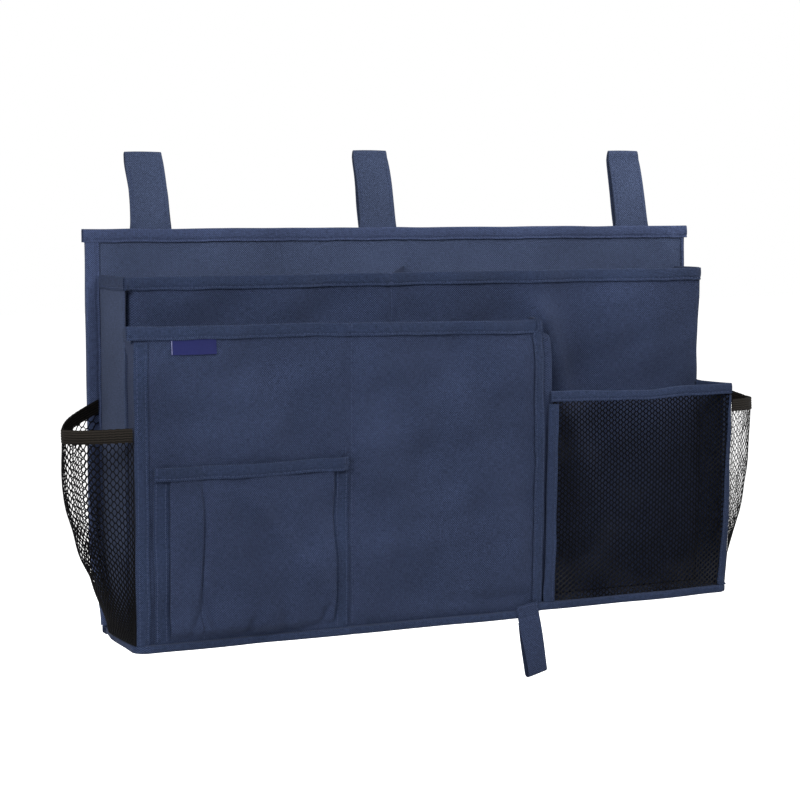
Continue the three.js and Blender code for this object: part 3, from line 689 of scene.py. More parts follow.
class CADDY_OT_front_pocket(bpy.types.Operator):
    """Sews the front pocket: a bound panel with gussets, a divider and a bare label"""

    bl_idname = "caddy.front_pocket"
    bl_label = "Front Pocket"

    def execute(self, context):
        self.walls()
        self.tapes()
        top = front_high[2]
        rows = [line_up(front_seam, front_plane - 0.05, floor_line + 2, top - 11, 0.15),
                line_up(front_seam, front_plane - 1.2, top - 10, top + 1, 0.3)]
        row_of_stitches("front_pocket_seam_stitches", rows)
        self.label()
        return {"FINISHED"}

    def walls(self):
        """The panel and what it stands on. Both gussets bulge outwards below their mouths."""

        def left_bulge(share, z):
            return 2.5 * fade(-112, -98, z) * fade(0, 0.3, share)

        def right_fold(share, z):
            out = np.interp(z, [floor_line, -335, -300, -200, -125, -108, -96], [1.5, 4.0, 5.5, 6.5, 6.0, 4.5, 0.0])
            return out * smooth(0.45, 0.8, share) * (1 - smooth(0.972, 1.0, share) * 0.9)

        cloth_panel("front_pocket_face", "front_pocket_panel", 3)
        side_wall("front_pocket_left_side", "front_pocket_left_gusset", back_is_left=False, bulge=0.8, tuck=1.0,
                  behind=0.5, shape=left_bulge)
        side_wall("front_pocket_right_side", "front_pocket_right_gusset", back_is_left=True, bulge=-2.0, steps=30,
                  height_step=4.0, shape=right_fold)
        side_wall("front_pocket_web", "front_pocket_divider", back_is_left=True, bulge=2.0)

    def tapes(self):
        """The tapes round the panel, and those over the gussets' mouths."""
        s = sizes()
        leaf, reach = leaf_over(s.cloth / MM), s.tape_reach / MM
        low, high = box("front_pocket_top_binding")
        middle = (low[1] + high[1]) / 2
        # The top edge falls from left to right, and turns down at its right corner.
        edge = straight((low[0], middle, high[2]), (high[0] - 4, middle, high[2]))
        corner = straight((high[0] - 4, middle, high[2]), (high[0], middle, high[2] - 2.2), 1)[1:]
        edge = np.concatenate([edge, corner])
        edge[:, 2] += np.interp(edge[:, 0], [low[0], front_seam, high[0]], [2.6, 1.0, -2.6])
        bound_edge("front_pocket_top_tape", "front_pocket_top_binding", edge, FRONT, DOWN, leaf, reach, seed=101,
                   waver=0.3)
        # The right tape runs on up over the end of the top one, where it lies further forward and is narrower.
        for side, sign, seed, rise, lap, narrowing in (("left", -1, 104, 1.0, 0.0, 0.0),
                                                       ("right", 1, 108, 10.5, 0.9, 5.5)):
            node = f"front_pocket_{side}_binding"
            top = box(node)[1][2]
            edge = side_edge(node, sign, middle, rise)
            edge[:, 1] -= lap * smooth(top - 2, top + 1, edge[:, 2])
            bound_edge(f"front_pocket_{side}_tape", node, edge, FRONT, (-sign, 0, 0), leaf, reach, seed,
                       front_reach=reach - narrowing * smooth(top - 3, top + 2, edge[:, 2]))
            by_edge = edge + FRONT * (leaf + 0.36) + np.array([-sign * 2.6, 0, 0])
            row_of_stitches(f"front_pocket_{side}_edge_stitches", [(settle(by_edge), FRONT)])
        low, high = box("front_pocket_left_gusset_binding")
        mouth_tape("front_pocket_left_side_tape", "front_pocket_left_gusset_binding", -1,
                   (high[0] - 1.5, high[1], high[2]), (low[0] + 1.5, low[1], high[2] - 0.5), seed=112)
        low, high = box("front_pocket_right_gusset_binding")
        middle = (low[0] + high[0]) / 2
        mouth_tape("front_pocket_right_side_tape", "front_pocket_right_gusset_binding", 1,
                   (middle, high[1], high[2]), (middle - 2.5, low[1] + 4, high[2] - 0.5), seed=115)

    def label(self):
        """The bare woven label under the top tape, with a pale thread down its left edge."""
        low, high = box("label")
        thick, raised = 0.5, 1.8
        x, z = np.meshgrid(spread(low[0], high[0], 1.0), spread(low[2], high[2] + 1.2, 0.8))
        share = (high[2] - z) / (high[2] - low[2])
        y = (low[1] + high[1]) / 2 - 0.5 * share ** 2 - 0.25 * np.sin((x - low[0]) / 14) * share
        grid = at(x, y, z + raised)
        bare = piece("bare_label", [sheet(settle(grid), thick)], "woven_satin_label", ["label"])
        x = low[0] + 0.7
        edge = straight((x, low[1] - 0.2, high[2] + raised), (x, low[1] - 0.65, low[2] + raised + 0.5), 1)
        path, facing = line_on(edge, 0.2)
        piece("bare_label_edge_thread", [tubes(path[None], facing, 0.28, 6)], "pale_label_thread",
              sharp=80)


class CADDY_OT_patch_pocket(bpy.types.Operator):
    """Sews the patch pocket: a panel on side pleats with a pen slot"""

    bl_idname = "caddy.patch_pocket"
    bl_label = "Patch Pocket"

    # Folds that stand up from the pocket's foot: place, middle height, lean, depth and width
    folds = ((-262, 17, 0.5, 3.8, 4.5), (-234, 19, -0.3, 4.2, 4.5), (-207, 13, 0.35, 3.8, 4.5),
             (-168, 14, -0.25, 3.6, 7), (-136, 16, 0.4, 3.6, 4.5))

    def execute(self, context):
        cloth = sizes().cloth / MM
        pleats = {side: box(f"patch_pocket_{side}_pleat") for side in ("left", "right")}
        self.left, self.right = pleats["left"][1][0], pleats["right"][0][0]
        self.pen = box("patch_pocket_pen_divider")[0][0] + cloth / 2
        self.top = box("patch_pocket_panel")[1][2]
        self.panel(cloth)
        rows = []
        for side, (low, high) in pleats.items():
            outer, inner = (low[0], high[0]) if side == "left" else (high[0], low[0])
            self.strip(side, outer, inner, cloth)
            rows += [line_up(outer + (inner - outer) * share, front_plane - 1.8, floor_line + 2, self.top - 11, 0.1)
                     for share in (0.14, 0.72)]
        z = spread(floor_line + 1, self.top - 1, 2.0)
        pens = np.full(len(z), self.pen)
        rows.append(line_on(at(pens, front_plane - self.face(pens, z) - cloth / 2, z), 0.05))
        rows += self.tape(leaf_over(cloth))
        row_of_stitches("patch_pocket_stitches", rows)
        return {"FINISHED"}

    def face(self, x, z):
        """How far the panel stands off the front pocket."""
        pen, right, top = self.pen, self.right, self.top
        above = z - floor_line
        up = smooth(1, 11, above)
        paunch = 1 + 0.2 * hump(above, 13, 11)
        off = 5.0 * (0.12 + 0.88 * up * paunch) * (1 - 0.4 * smooth(top - 45, top, z))
        edges = fade(right - 1.2, right + 2.2, x)
        off = off * edges + 1.6 * dome(x, pen, right) * up - 3.2 * hump(x, pen, 1.6) * edges * up
        for place, height, lean, depth, width in self.folds:
            off = off - depth * hump(x - lean * above, place, width) * hump(above, height, 13) * edges
        slant = 3.3 * hump(x + 0.9 * z, -420, 11) * up * fade(top - 32, top - 14, z)
        return np.maximum(off + (slant + rumple(131, x, z, 62, 1.3)) * edges, 0.9)

    def panel(self, cloth):
        """The panel, turned in at its left edge, and the web that holds it down at the pen slot."""
        left, right, top = self.left, self.right, self.top
        turned_in = left + np.array([5.0, 3.2, 1.4, 0.2, -0.5, -0.4, 0.3, 1.4])
        share = np.array([0.32, 0.36, 0.42, 0.54, 0.72, 0.88, 0.97, 1.0])
        x = np.concatenate([turned_in, spread(left + 2.4, right - 3, 2.0), spread(right - 3, right + 3, 0.6)[1:]])
        share = np.concatenate([share, np.ones(len(x) - len(share))])
        x, z = np.meshgrid(x, spread(floor_line, top, 2.0))
        front = at(x, front_plane - np.maximum(self.face(np.maximum(x, left + 1), z) * share, 0.9), z)
        inward, z = np.meshgrid(np.array([0.0, 0.35, 0.7]), spread(floor_line + 6, top - 9, 8))
        off = np.maximum(self.face(np.full(z.shape, self.pen), z) - cloth, 0.4)
        web = at(self.pen, front_plane - 0.3 - off * inward, z)
        made = piece("patch_pocket_face", [sheet(settle(front), cloth), sheet(settle(web), cloth)],
                     "woven_oxford_cloth", ["patch_pocket_panel", "patch_pocket_pen_divider"])

    def strip(self, side, outer, inner, cloth):
        """A pleat, pressed flat into a strip whose inner edge goes in under the panel."""
        across = outer + (inner - outer) * np.array([0, 0.25, 0.5, 0.75, 1])
        across = np.append(across, inner + math.copysign(5, inner - outer))
        off = np.array([1.3, 1.5, 1.15, 1.5, 1.3, 0.8])
        grid = at(across, front_plane - off, spread(floor_line, self.top - 1, 4.0)[:, None])
        strip = piece(f"patch_pocket_{side}_strip", [sheet(settle(grid), cloth)], "woven_polyester_edge_tape",
                      [f"patch_pocket_{side}_pleat"])

    def tape(self, leaf):
        """The top tape, which dips between its sewn ends, and the rows of stitches that tack it down."""
        low, high = box("patch_pocket_top_binding")
        edge = straight((low[0], 0, high[2]), (high[0], 0, high[2]), 2.0)
        x = edge[:, 0].copy()
        off = self.face(np.clip(x, self.left + 1.3, self.right - 1.3), np.full(len(x), self.top))
        ends = smooth(low[0], low[0] + 7, x) * fade(high[0] - 7, high[0], x)
        edge[:, 1] = front_plane - (2.0 + (off - 2.0) * ends)
        edge[:, 2] -= 1.2 * arch((x - low[0]) / (high[0] - low[0]))
        bound_edge("patch_pocket_top_tape", "patch_pocket_top_binding", edge, FRONT, DOWN, leaf,
                   sizes().tape_reach / MM, seed=141, waver=0.25, back_stitches=False)
        top = high[2]
        rows = []
        # The two rows at the right end run on above the tape.
        for place, runs_on in ((low[0] + 2.2, False), (self.pen, False), (high[0] - 2.2, True), (high[0] - 5.0, True)):
            rows.append(line_up(place, np.interp(place, x, edge[:, 1]) - leaf - 0.35, top - 11, top, 0.12, 1))
            if runs_on:
                rows.append(line_up(place, front_plane - 0.1, top + 1, top + 9, 0.15, 1))
        return rows


def net_lines(surface, strands, periods):
    """Strands that run across, one under another, and meet and part in turn, as a knitted net's do.

    surface takes shares u across and v down."""
    phases = np.array([0.0, 0.25, 0.5, 0.75])
    sway = np.array([1.0, 1.0, -1.0, -1.0])
    reach, small = 0.44, 1e-3
    u = np.concatenate([(np.arange(periods)[:, None] + phases).ravel(), [periods]]) / periods
    swing = np.concatenate([np.tile(sway, periods), [1.0]])
    k = np.arange(strands + 1)
    v = np.clip((k[:, None] + reach * swing * np.where(k % 2, -1, 1)[:, None]) / strands, 0, 1)
    u = np.broadcast_to(u, v.shape)
    du = surface(np.clip(u + small, 0, 1), v) - surface(np.clip(u - small, 0, 1), v)
    dv = surface(u, np.clip(v + small, 0, 1)) - surface(u, np.clip(v - small, 0, 1))
    return surface(u, v), unit(np.cross(du, dv))


def net_piece(name, node, material, lines, normals, cord):
    """A net of square cords, in the place of its solid."""
    net = piece(name, [tubes(lines, normals, cord / MM / 2, 4)], material, [node], sharp=100)


class CADDY_OT_box_pocket(bpy.types.Operator):
    """Sews the net box pocket: knitted net, tape on three sides and one cloth wall"""

    bl_idname = "caddy.box_pocket"
    bl_label = "Box Pocket"

    def execute(self, context):
        s = sizes()
        low, high = box("box_pocket_net")
        top = high[2] - 1.0
        middle = (low[1] + high[1]) / 2

        def face(u, v):
            return settle(at(low[0] + 1 + (high[0] - low[0] - 2) * u, middle, top - (top - low[2]) * v))

        mesh = s.box_mesh / MM
        lines, normals = net_lines(face, int(round((top - low[2]) / mesh * 2)),
                                   int(round((high[0] - low[0]) / (mesh * 1.42))))
        net_piece("box_pocket_mesh", "box_pocket_net", "knitted_box_net", lines, normals, s.box_cord)
        leaf, side_reach = leaf_over(1.0), 9.5
        top_tape("box_pocket", middle, leaf, s.tape_reach / MM * 0.85, seed=151, waver=0.35, inset=1.5)
        for side, sign, seed in (("left", -1, 154), ("right", 1, 158)):
            node = f"box_pocket_{side}_binding"
            edge = side_edge(node, sign, middle)
            wide = 10.0 if sign < 0 else np.interp(edge[:, 2], [floor_line, -250, -170], [9.5, 7.0, 3.6])
            bound_edge(f"box_pocket_{side}_tape", node, edge, FRONT, (-sign, 0, 0), leaf, side_reach, seed,
                       front_reach=wide)
        side_wall("box_pocket_wall", "box_pocket_right_wall", back_is_left=True, bulge=0.6, behind=2.6,
                  shape=lambda share, z: 2.0 * fade(0, 0.16, share))
        low, high = box("box_pocket_wall_binding")
        mouth_tape("box_pocket_wall_tape", "box_pocket_wall_binding", 1, (low[0] + 1.2, high[1], high[2]),
                   (high[0] - 1.2, low[1], high[2]), seed=161)
        return {"FINISHED"}


class CADDY_OT_bottle_pockets(bpy.types.Operator):
    """Makes the two net bottle pockets under their elastic bands"""

    bl_idname = "caddy.bottle_pockets"
    bl_label = "Bottle Pockets"

    full_bulge = 52.0

    def execute(self, context):
        # Each side: where its front seam is, the band's height behind, outside and in front, how far it bulges
        # down its height, and how full its yarn is. The net is slacker in front of the pocket's own wall.
        self.pocket("left", -1, front_x=-309.9, tops=(-153.5, -173.0, -170.0),
                    shares=(0.95, 0.98, 0.95, 0.72, 0.42, 0.18, 0.05), seed=171, yarn=1.0, fuller=0.35)
        self.pocket("right", 1, front_x=313.9, tops=(-153.0, -173.5, -171.5),
                    shares=(0.92, 0.9, 0.86, 0.73, 0.47, 0.22, 0.05), seed=181, yarn=0.62, fuller=0.0)
        return {"FINISHED"}

    def pocket(self, side, sign, front_x, tops, shares, seed, yarn, fuller):
        """One bottle pocket: its net and its band."""
        s = sizes()
        low, high = box(f"{side}_bottle_pocket_band")
        back, front = (sign * 311.0, high[1] - 0.6), (front_x, low[1] + 0.6)
        back_top, outer_top, front_top = tops
        rows = (0, 0.1, 0.3, 0.55, 0.75, 0.9, 1)
        wide, tall = 128, 185

        def band_top(u):
            to_back = np.maximum(0, 1 - 2 * u) ** 1.5
            to_front = np.maximum(0, 2 * u - 1) ** 1.5
            return outer_top + (back_top - outer_top) * to_back + (front_top - outer_top) * to_front

        def plan(bulge, u):
            """A quadratic curve in plan from the back seam over the bulge to the front seam."""
            slew = (front[1] - back[1]) / 6 * bulge / self.full_bulge
            control = ((back[0] + front[0]) / 2 + sign * 2 * bulge, (back[1] + front[1]) / 2 + slew)
            return [(1 - u) ** 2 * back[k] + 2 * u * (1 - u) * control[k] + u ** 2 * front[k] for k in range(2)]

        def shell(u, v):
            """A point of the net: u goes round from back to front, v goes down."""
            v = 0.78 * v + 0.22 * (1 - (1 - v) ** 2)
            u = 1 - (1 - u) ** 1.35
            bulge = sum(np.interp(np.clip(v + shift, 0, 1), rows, shares) for shift in (0, -0.06, 0.06)) / 3
            x, y = plan(self.full_bulge * bulge, u)
            top = band_top(u) - 11.0
            z = top + (floor_line + 0.5 - top) * v
            loose = arch(np.clip(u, 0, 1)) * arch(np.clip(v, 0, 1)) ** 0.6
            return settle(at(x + sign * rumple(seed, z, y, 46, 0.9) * loose, y, z))

        mesh, height = s.bottle_mesh / MM, 178
        lines, normals = net_lines(shell, int(round(height / mesh * 2)), int(round(wide / (mesh * 1.12))))
        around = np.linspace(0, 1, lines.shape[1])[None, :]
        cord = s.bottle_cord * yarn * (1 + fuller * smooth(0.45, 0.62, around))
        net_piece(f"{side}_bottle_pocket_mesh", f"{side}_bottle_pocket_net", "knitted_polyester_net", lines, normals,
                  cord)

        # The ribbed elastic band, gathered round the pocket's mouth
        height, thick, ribs, gathers = 12.0, 1.1, 5, 27
        u, v = np.meshgrid(np.linspace(0, 1, 121), np.linspace(0, 1, ribs * 6 + 1), indexing="ij")
        gather = 0.45 * np.sin(u * 2 * math.pi * gathers) * (0.35 + 0.65 * rumple(seed + 3, u * 100, 0, 30, 1.0) ** 2)
        x, y = plan(self.full_bulge * shares[0], u)
        z = band_top(u) - height * v + 0.5 * gather
        x = x + sign * (0.5 * np.abs(arch(v * ribs)) + 0.35 * gather * arch(v))
        x = x + sign * rumple(seed + 4, u * 120, z, 38, 0.5) * arch(u)
        band = piece(f"{side}_bottle_pocket_elastic", [sheet(settle(at(x, y, z)), thick)], "woven_ribbed_elastic",
                     [f"{side}_bottle_pocket_band"], sharp=70)


class CADDY_OT_straps(bpy.types.Operator):
    """Sews the three rail straps with their hook-and-loop patches"""

    bl_idname = "caddy.straps"
    bl_label = "Rail Straps"

    def execute(self, context):
        # Each strap: how high its crest rises, how far it stands and slants aside, and where its tail drifts to
        for side, seed, rise, shift, aslant, drift in (("left", 191, 2.0, 1.6, 0.9, 4.2),
                                                       ("middle", 192, 5.8, 1.4, 2.0, 1.8),
                                                       ("right", 193, 8.6, 3.0, 2.8, 1.4)):
            self.strap(side, seed, rise, shift, aslant, drift)
            self.patch(f"{side}_hook_patch", f"{side}_strap_hook_patch", f"{side}_strap_end", "hook_tape", -1)
            self.patch(f"{side}_loop_patch", f"{side}_rear_loop_patch", "caddy_body", "loop_tape", 1)
        return {"FINISHED"}

    def strap(self, side, seed, rise, shift, aslant, drift):
        """A doubled strap: up from its foot, over its crest and down behind the panel."""
        low, high = box(f"{side}_strap_riser")
        tail_low = box(f"{side}_strap_tail")[0]
        thick, bend = 1.4, 2.0
        half, centre = (high[0] - low[0]) / 2, (high[0] + low[0]) / 2
        foot, foot_drop = low[1] + thick / 2 + 1.2, 1.1
        crest = high[2] - thick / 2 - 4.2
        crest_y = high[1] - thick / 2 - bend - 0.3
        lean = crest_y - bend - foot
        behind_y, rest_y = 7.15, 3.6

        # The side view, from the foot to the tail's end: points (y, z)
        riser_count, arc_count = 17, 8
        top = riser_count + 3
        profile = [(foot + lean * (0.25 * t + 0.75 * t ** 1.35), low[2] + (crest - low[2]) * t)
                   for t in np.linspace(0, 1, riser_count)]
        profile[0] = (foot, low[2] - foot_drop)
        profile += [(crest_y + bend * math.cos(angle), crest + rise * math.sin(angle))
                    for angle in np.linspace(math.pi, 0, arc_count + 1)[1:]]
        start_y = crest_y + bend
        profile += [(start_y + (behind_y - start_y) * (t - 0.02 * math.sin(math.pi * t)), crest * (1 - t) + 0.3 * t)
                    for t in np.linspace(0, 1, 13)[1:]]
        profile += [(behind_y + (rest_y - behind_y) * smooth(0, 1, t), 0.3 - 18 * t) for t in np.linspace(0, 1, 5)[1:]]
        profile += [(rest_y, z) for z in np.linspace(-17.7, tail_low[2], 12)[1:]]
        profile = np.array(profile)
        run = run_along(profile)
        height = profile[:, 1]

        # Across: flared at the foot, narrowed round the crest, and cupped a little
        cross = np.linspace(-1, 1, 15)
        flare = 1 + 0.055 * np.exp(-run / 5.0) - 0.012 * np.sin(run / 40)
        width = half * np.minimum(flare - 0.05 * hump(run, run[top], 9.0), 1.05)
        place = centre + shift + aslant * smooth(0, crest, height) + rumple(seed, run, 0, 60, 0.35)
        drifting = np.where(np.arange(len(run)) > top + 3, drift, 0.0)
        place = place + drifting * smooth(crest, 25, height) * smooth(-17, -2, height)
        tangent = unit(np.gradient(profile, axis=0))[:, None]
        cup = 0.35 * (1 - cross ** 2)
        grid = at(place[:, None] + cross * width[:, None], profile[:, :1] - tangent[..., 1] * cup,
                  profile[:, 1:] + tangent[..., 0] * cup)
        # Painted light: the strap takes the darker copy of the back panel's paler cloth.
        strip = piece(f"{side}_strap", [sheet(grid, thick - 0.2)], "dimmer_painted_lit_cloth",
                      [f"{side}_strap_riser", f"{side}_strap_tail"], body=None)

        # Stitches down both edges and on both faces, but not over the crest, where the two bodies meet
        normals = unit(np.cross(np.gradient(grid, axis=0), np.gradient(grid, axis=1)))
        risers, tails = [], []
        for column, inward in ((1, 0.7), (-2, -0.7)):
            for face in (1, -1):
                facing = normals[:, column] * face
                path = grid[:, column] + facing * (thick / 2 - 0.02)
                path[:, 0] += inward
                risers.append((path[:riser_count - 2], facing[:riser_count - 2]))
                tails.append((path[riser_count + arc_count + 1:], facing[riser_count + arc_count + 1:]))
        row_of_stitches(f"{side}_strap_riser_stitches", risers, f"{side}_strap")
        row_of_stitches(f"{side}_strap_tail_stitches", tails, f"{side}_strap_end")
        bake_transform(strip)

    def patch(self, name, node, body, material, facing):
        """A hook or loop patch with round corners and a box of stitches."""
        low, high = box(node)
        middle = (low + high) / 2
        wide, tall, thick = (high[0] - low[0]) / 2, (high[2] - low[2]) / 2, high[1] - low[1]
        u, v = np.meshgrid(np.linspace(-1, 1, 19), np.linspace(-1, 1, 31))
        x = middle[0] + u * wide * (1 - 0.035 * np.abs(v) ** 14)
        z = middle[2] + v * tall * (1 - 0.02 * np.abs(u) ** 14)
        grid = at(x, middle[1] + rumple(201, x, z, 4.0, 0.05), z)
        piece(name, [sheet(grid, thick - 0.15)], material, [node], body=body, sharp=60)
        inset = 1.8
        corners = [middle + (across * (wide - inset), facing * thick * 0.45, up * (tall - inset))
                   for across, up in ((-1, -1), (1, -1), (1, 1), (-1, 1))]
        rows = [(straight(a, b, 2), (0, facing, 0)) for a, b in zip(corners, corners[1:] + corners[:1])]
        row_of_stitches(name + "_stitches", rows, body)


class CADDY_OT_pull_loop(bpy.types.Operator):
    """Sews the short loop of tape under the front edge"""

    bl_idname = "caddy.pull_loop"
    bl_label = "Pull Loop"

    def execute(self, context):
        joint = next(j for j in frame["joints"] if j["name"] == "pull_loop_swing")
        axis = unit(np.array(joint["axis"], float))
        pivot = np.array(joint["pos_m"]) / MM
        down = unit(np.cross(axis, FRONT))
        down = down if down[2] < 0 else -down
        back = -FRONT
        half, thick = 11.5, 0.8

        # The side view, from the sewn end behind the pivot round the loop: points (rearward, down)
        bottom, gap = 54.0, 3.0
        profile = [(0.1, -15.0), (0.1, -12.0), (0.0, -9.0), (0.0, -6.0), (0.0, -3.0), (-0.1, -1.0), (-0.45, 0.6),
                   (-0.7, 2.5), (-1.4, 9.0), (-2.2, 18.0), (-2.8, 30.0), (-gap, 42.0), (-gap, bottom)]
        profile += [(gap * math.cos(angle), bottom - gap * math.sin(angle))
                    for angle in np.linspace(math.pi, 2 * math.pi, 9)[1:]]
        profile += [(gap, 42.0), (2.8, 30.0), (2.2, 18.0), (1.4, 9.0), (0.75, 2.5), (0.5, 0.8)]
        rearward, depth = np.array(profile).T[:, :, None]
        depth = np.where(depth > 9, 9 + (depth - 9) * 0.94, depth)

        # The loop twists towards its bottom, and is cupped a little.
        cross = np.linspace(-1, 1, 13)
        twist = math.radians(12) * smooth(4, 45, depth)
        side = axis * np.cos(twist) + back * np.sin(twist)
        facing = back * np.cos(twist) - axis * np.sin(twist)
        grid = pivot + (down * depth + facing * rearward)[:, None] + half * cross[:, None] * side[:, None]
        grid[..., 1] -= 0.25 * (1 - cross ** 2)
        tape = piece("pull_loop_tape", [sheet(grid, thick)], "woven_oxford_cloth",
                     ["pull_loop", "pull_loop_sewn_end"], body=None)

        # Three rows across the sewn end and one down each of its sides: (aside, down, raised) from end to end
        ends, sides = half - 1, half - 1.6
        rows = []
        for (a, from_depth), (b, to_depth), raised in (
                ((-ends, -13.5), (ends, -13.5), 0.55), ((-ends, -2.4), (ends, -2.4), 0.6),
                ((-ends, -0.9), (ends, -0.9), 0.6), ((-sides, -13.5), (-sides, -1.5), 0.55),
                ((sides, -13.5), (sides, -1.5), 0.55)):
            path = straight(pivot + down * from_depth + axis * a, pivot + down * to_depth + axis * b, 2)
            rows.append((path + FRONT * raised, FRONT))
        stitches = row_of_stitches("pull_loop_stitches", rows, None)
        for made in (tape, stitches):
            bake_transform(made)
        return {"FINISHED"}


def add(tree, kind, settings=None, links=None):
    """Adds a node, sets its inputs and options, and links its sockets."""
    node = tree.nodes.new(kind)
    for key, value in (settings or {}).items():
        if isinstance(key, int) or key in node.inputs:
            node.inputs[key].default_value = value
        else:
            setattr(node, key, value)
    for socket, source in (links or {}).items():
        tree.links.new(source, node.inputs[socket])
    return node


def start_material(name):
    material = bpy.data.materials.new(name)
    material.use_nodes = True
    material.node_tree.nodes.clear()
    return material.node_tree


def finish_material(tree, shader):
    add(tree, "ShaderNodeOutputMaterial", links={"Surface": shader.outputs[0]})


def finish_surface(tree, colour, shade, height, strength, depth, look):
    """Ends a material: its colour times a shade, bumps as deep as depth, and a shader with the given look."""
    tint = add(tree, "ShaderNodeVectorMath", {"operation": "SCALE", 0: tuple(colour)}, {"Scale": shade})
    bump = add(tree, "ShaderNodeBump", {"Strength": strength, "Distance": depth}, {"Height": height})
    finish_material(tree, add(tree, "ShaderNodeBsdfPrincipled", {"IOR": 1.5, **look},
                              {"Base Color": tint.outputs[0], "Normal": bump.outputs[0]}))


def math_node(tree, operation, *values):
    """One sum on sockets or numbers."""
    node = add(tree, "ShaderNodeMath", {"operation": operation})
    for slot, value in enumerate(values):
        if isinstance(value, (int, float)):
            node.inputs[slot].default_value = value
        else:
            tree.links.new(value, node.inputs[slot])
    return node.outputs[0]


def ripples(tree, place, pitch, operation="SINE"):
    """A wave along one coordinate."""
    return math_node(tree, operation, math_node(tree, "MULTIPLY", place, 2 * math.pi / pitch))


def cloth_run(tree):
    """The cloth's own coordinates, in metres: both of them, then across and along it."""
    run = add(tree, "ShaderNodeUVMap", {"uv_map": "cloth_run"}).outputs[0]
    split = add(tree, "ShaderNodeSeparateXYZ", links={0: run})
    return run, split.outputs[0], split.outputs[1]


def noise(tree, place, settings):
    return add(tree, "ShaderNodeTexNoise", settings, {"Vector": place}).outputs[0]


def object_place(tree):
    return add(tree, "ShaderNodeTexCoord").outputs["Object"]


def woven(name, colour, pitch, *, contrast, streak, depth, roughness, sheen):
    """A woven cloth: raised crossings of warp and weft, uneven threads, and soft blotches that are lighter and darker
    at random.

    pitch is from thread to thread and depth is how far they stand up, both in metres. contrast is how much
    the crossings differ in shade, and streak how much the threads do."""
    tree = start_material(name)
    run, across, along = cloth_run(tree)
    crossing = math_node(tree, "MULTIPLY", ripples(tree, across, pitch), ripples(tree, along, pitch))
    # Slubs, the thicker places in a thread, are 5 mm long and 1.2 mm wide, and lie both ways.
    slub, thread = 1 / 0.005, 1 / 0.0012
    both_ways = [add(tree, "ShaderNodeMapping", {"Scale": scale}, {"Vector": run}).outputs[0]
                 for scale in ((thread, slub, 1), (slub, thread, 1))]
    slubs = math_node(tree, "ADD", *(noise(tree, place, {"noise_dimensions": "2D", "Scale": 1.0, "Detail": 2.0})
                                     for place in both_ways))
    blotch = noise(tree, object_place(tree), {"Scale": 1 / 0.085, "Detail": 2.0, "Roughness": 0.5})
    shade = math_node(tree, "MULTIPLY_ADD", crossing, contrast, 1.0)
    uneven = math_node(tree, "MULTIPLY_ADD", slubs, streak, 1.0 - streak)
    blotched = math_node(tree, "MULTIPLY_ADD", blotch, 0.8, 0.6)
    shade = math_node(tree, "MULTIPLY", math_node(tree, "MULTIPLY", shade, uneven), blotched)
    finish_surface(tree, colour, shade, math_node(tree, "ADD", crossing, slubs), 0.55, depth,
                   {"Roughness": roughness, "Sheen Weight": sheen, "Sheen Roughness": 0.55,
                    "Specular IOR Level": 0.04})


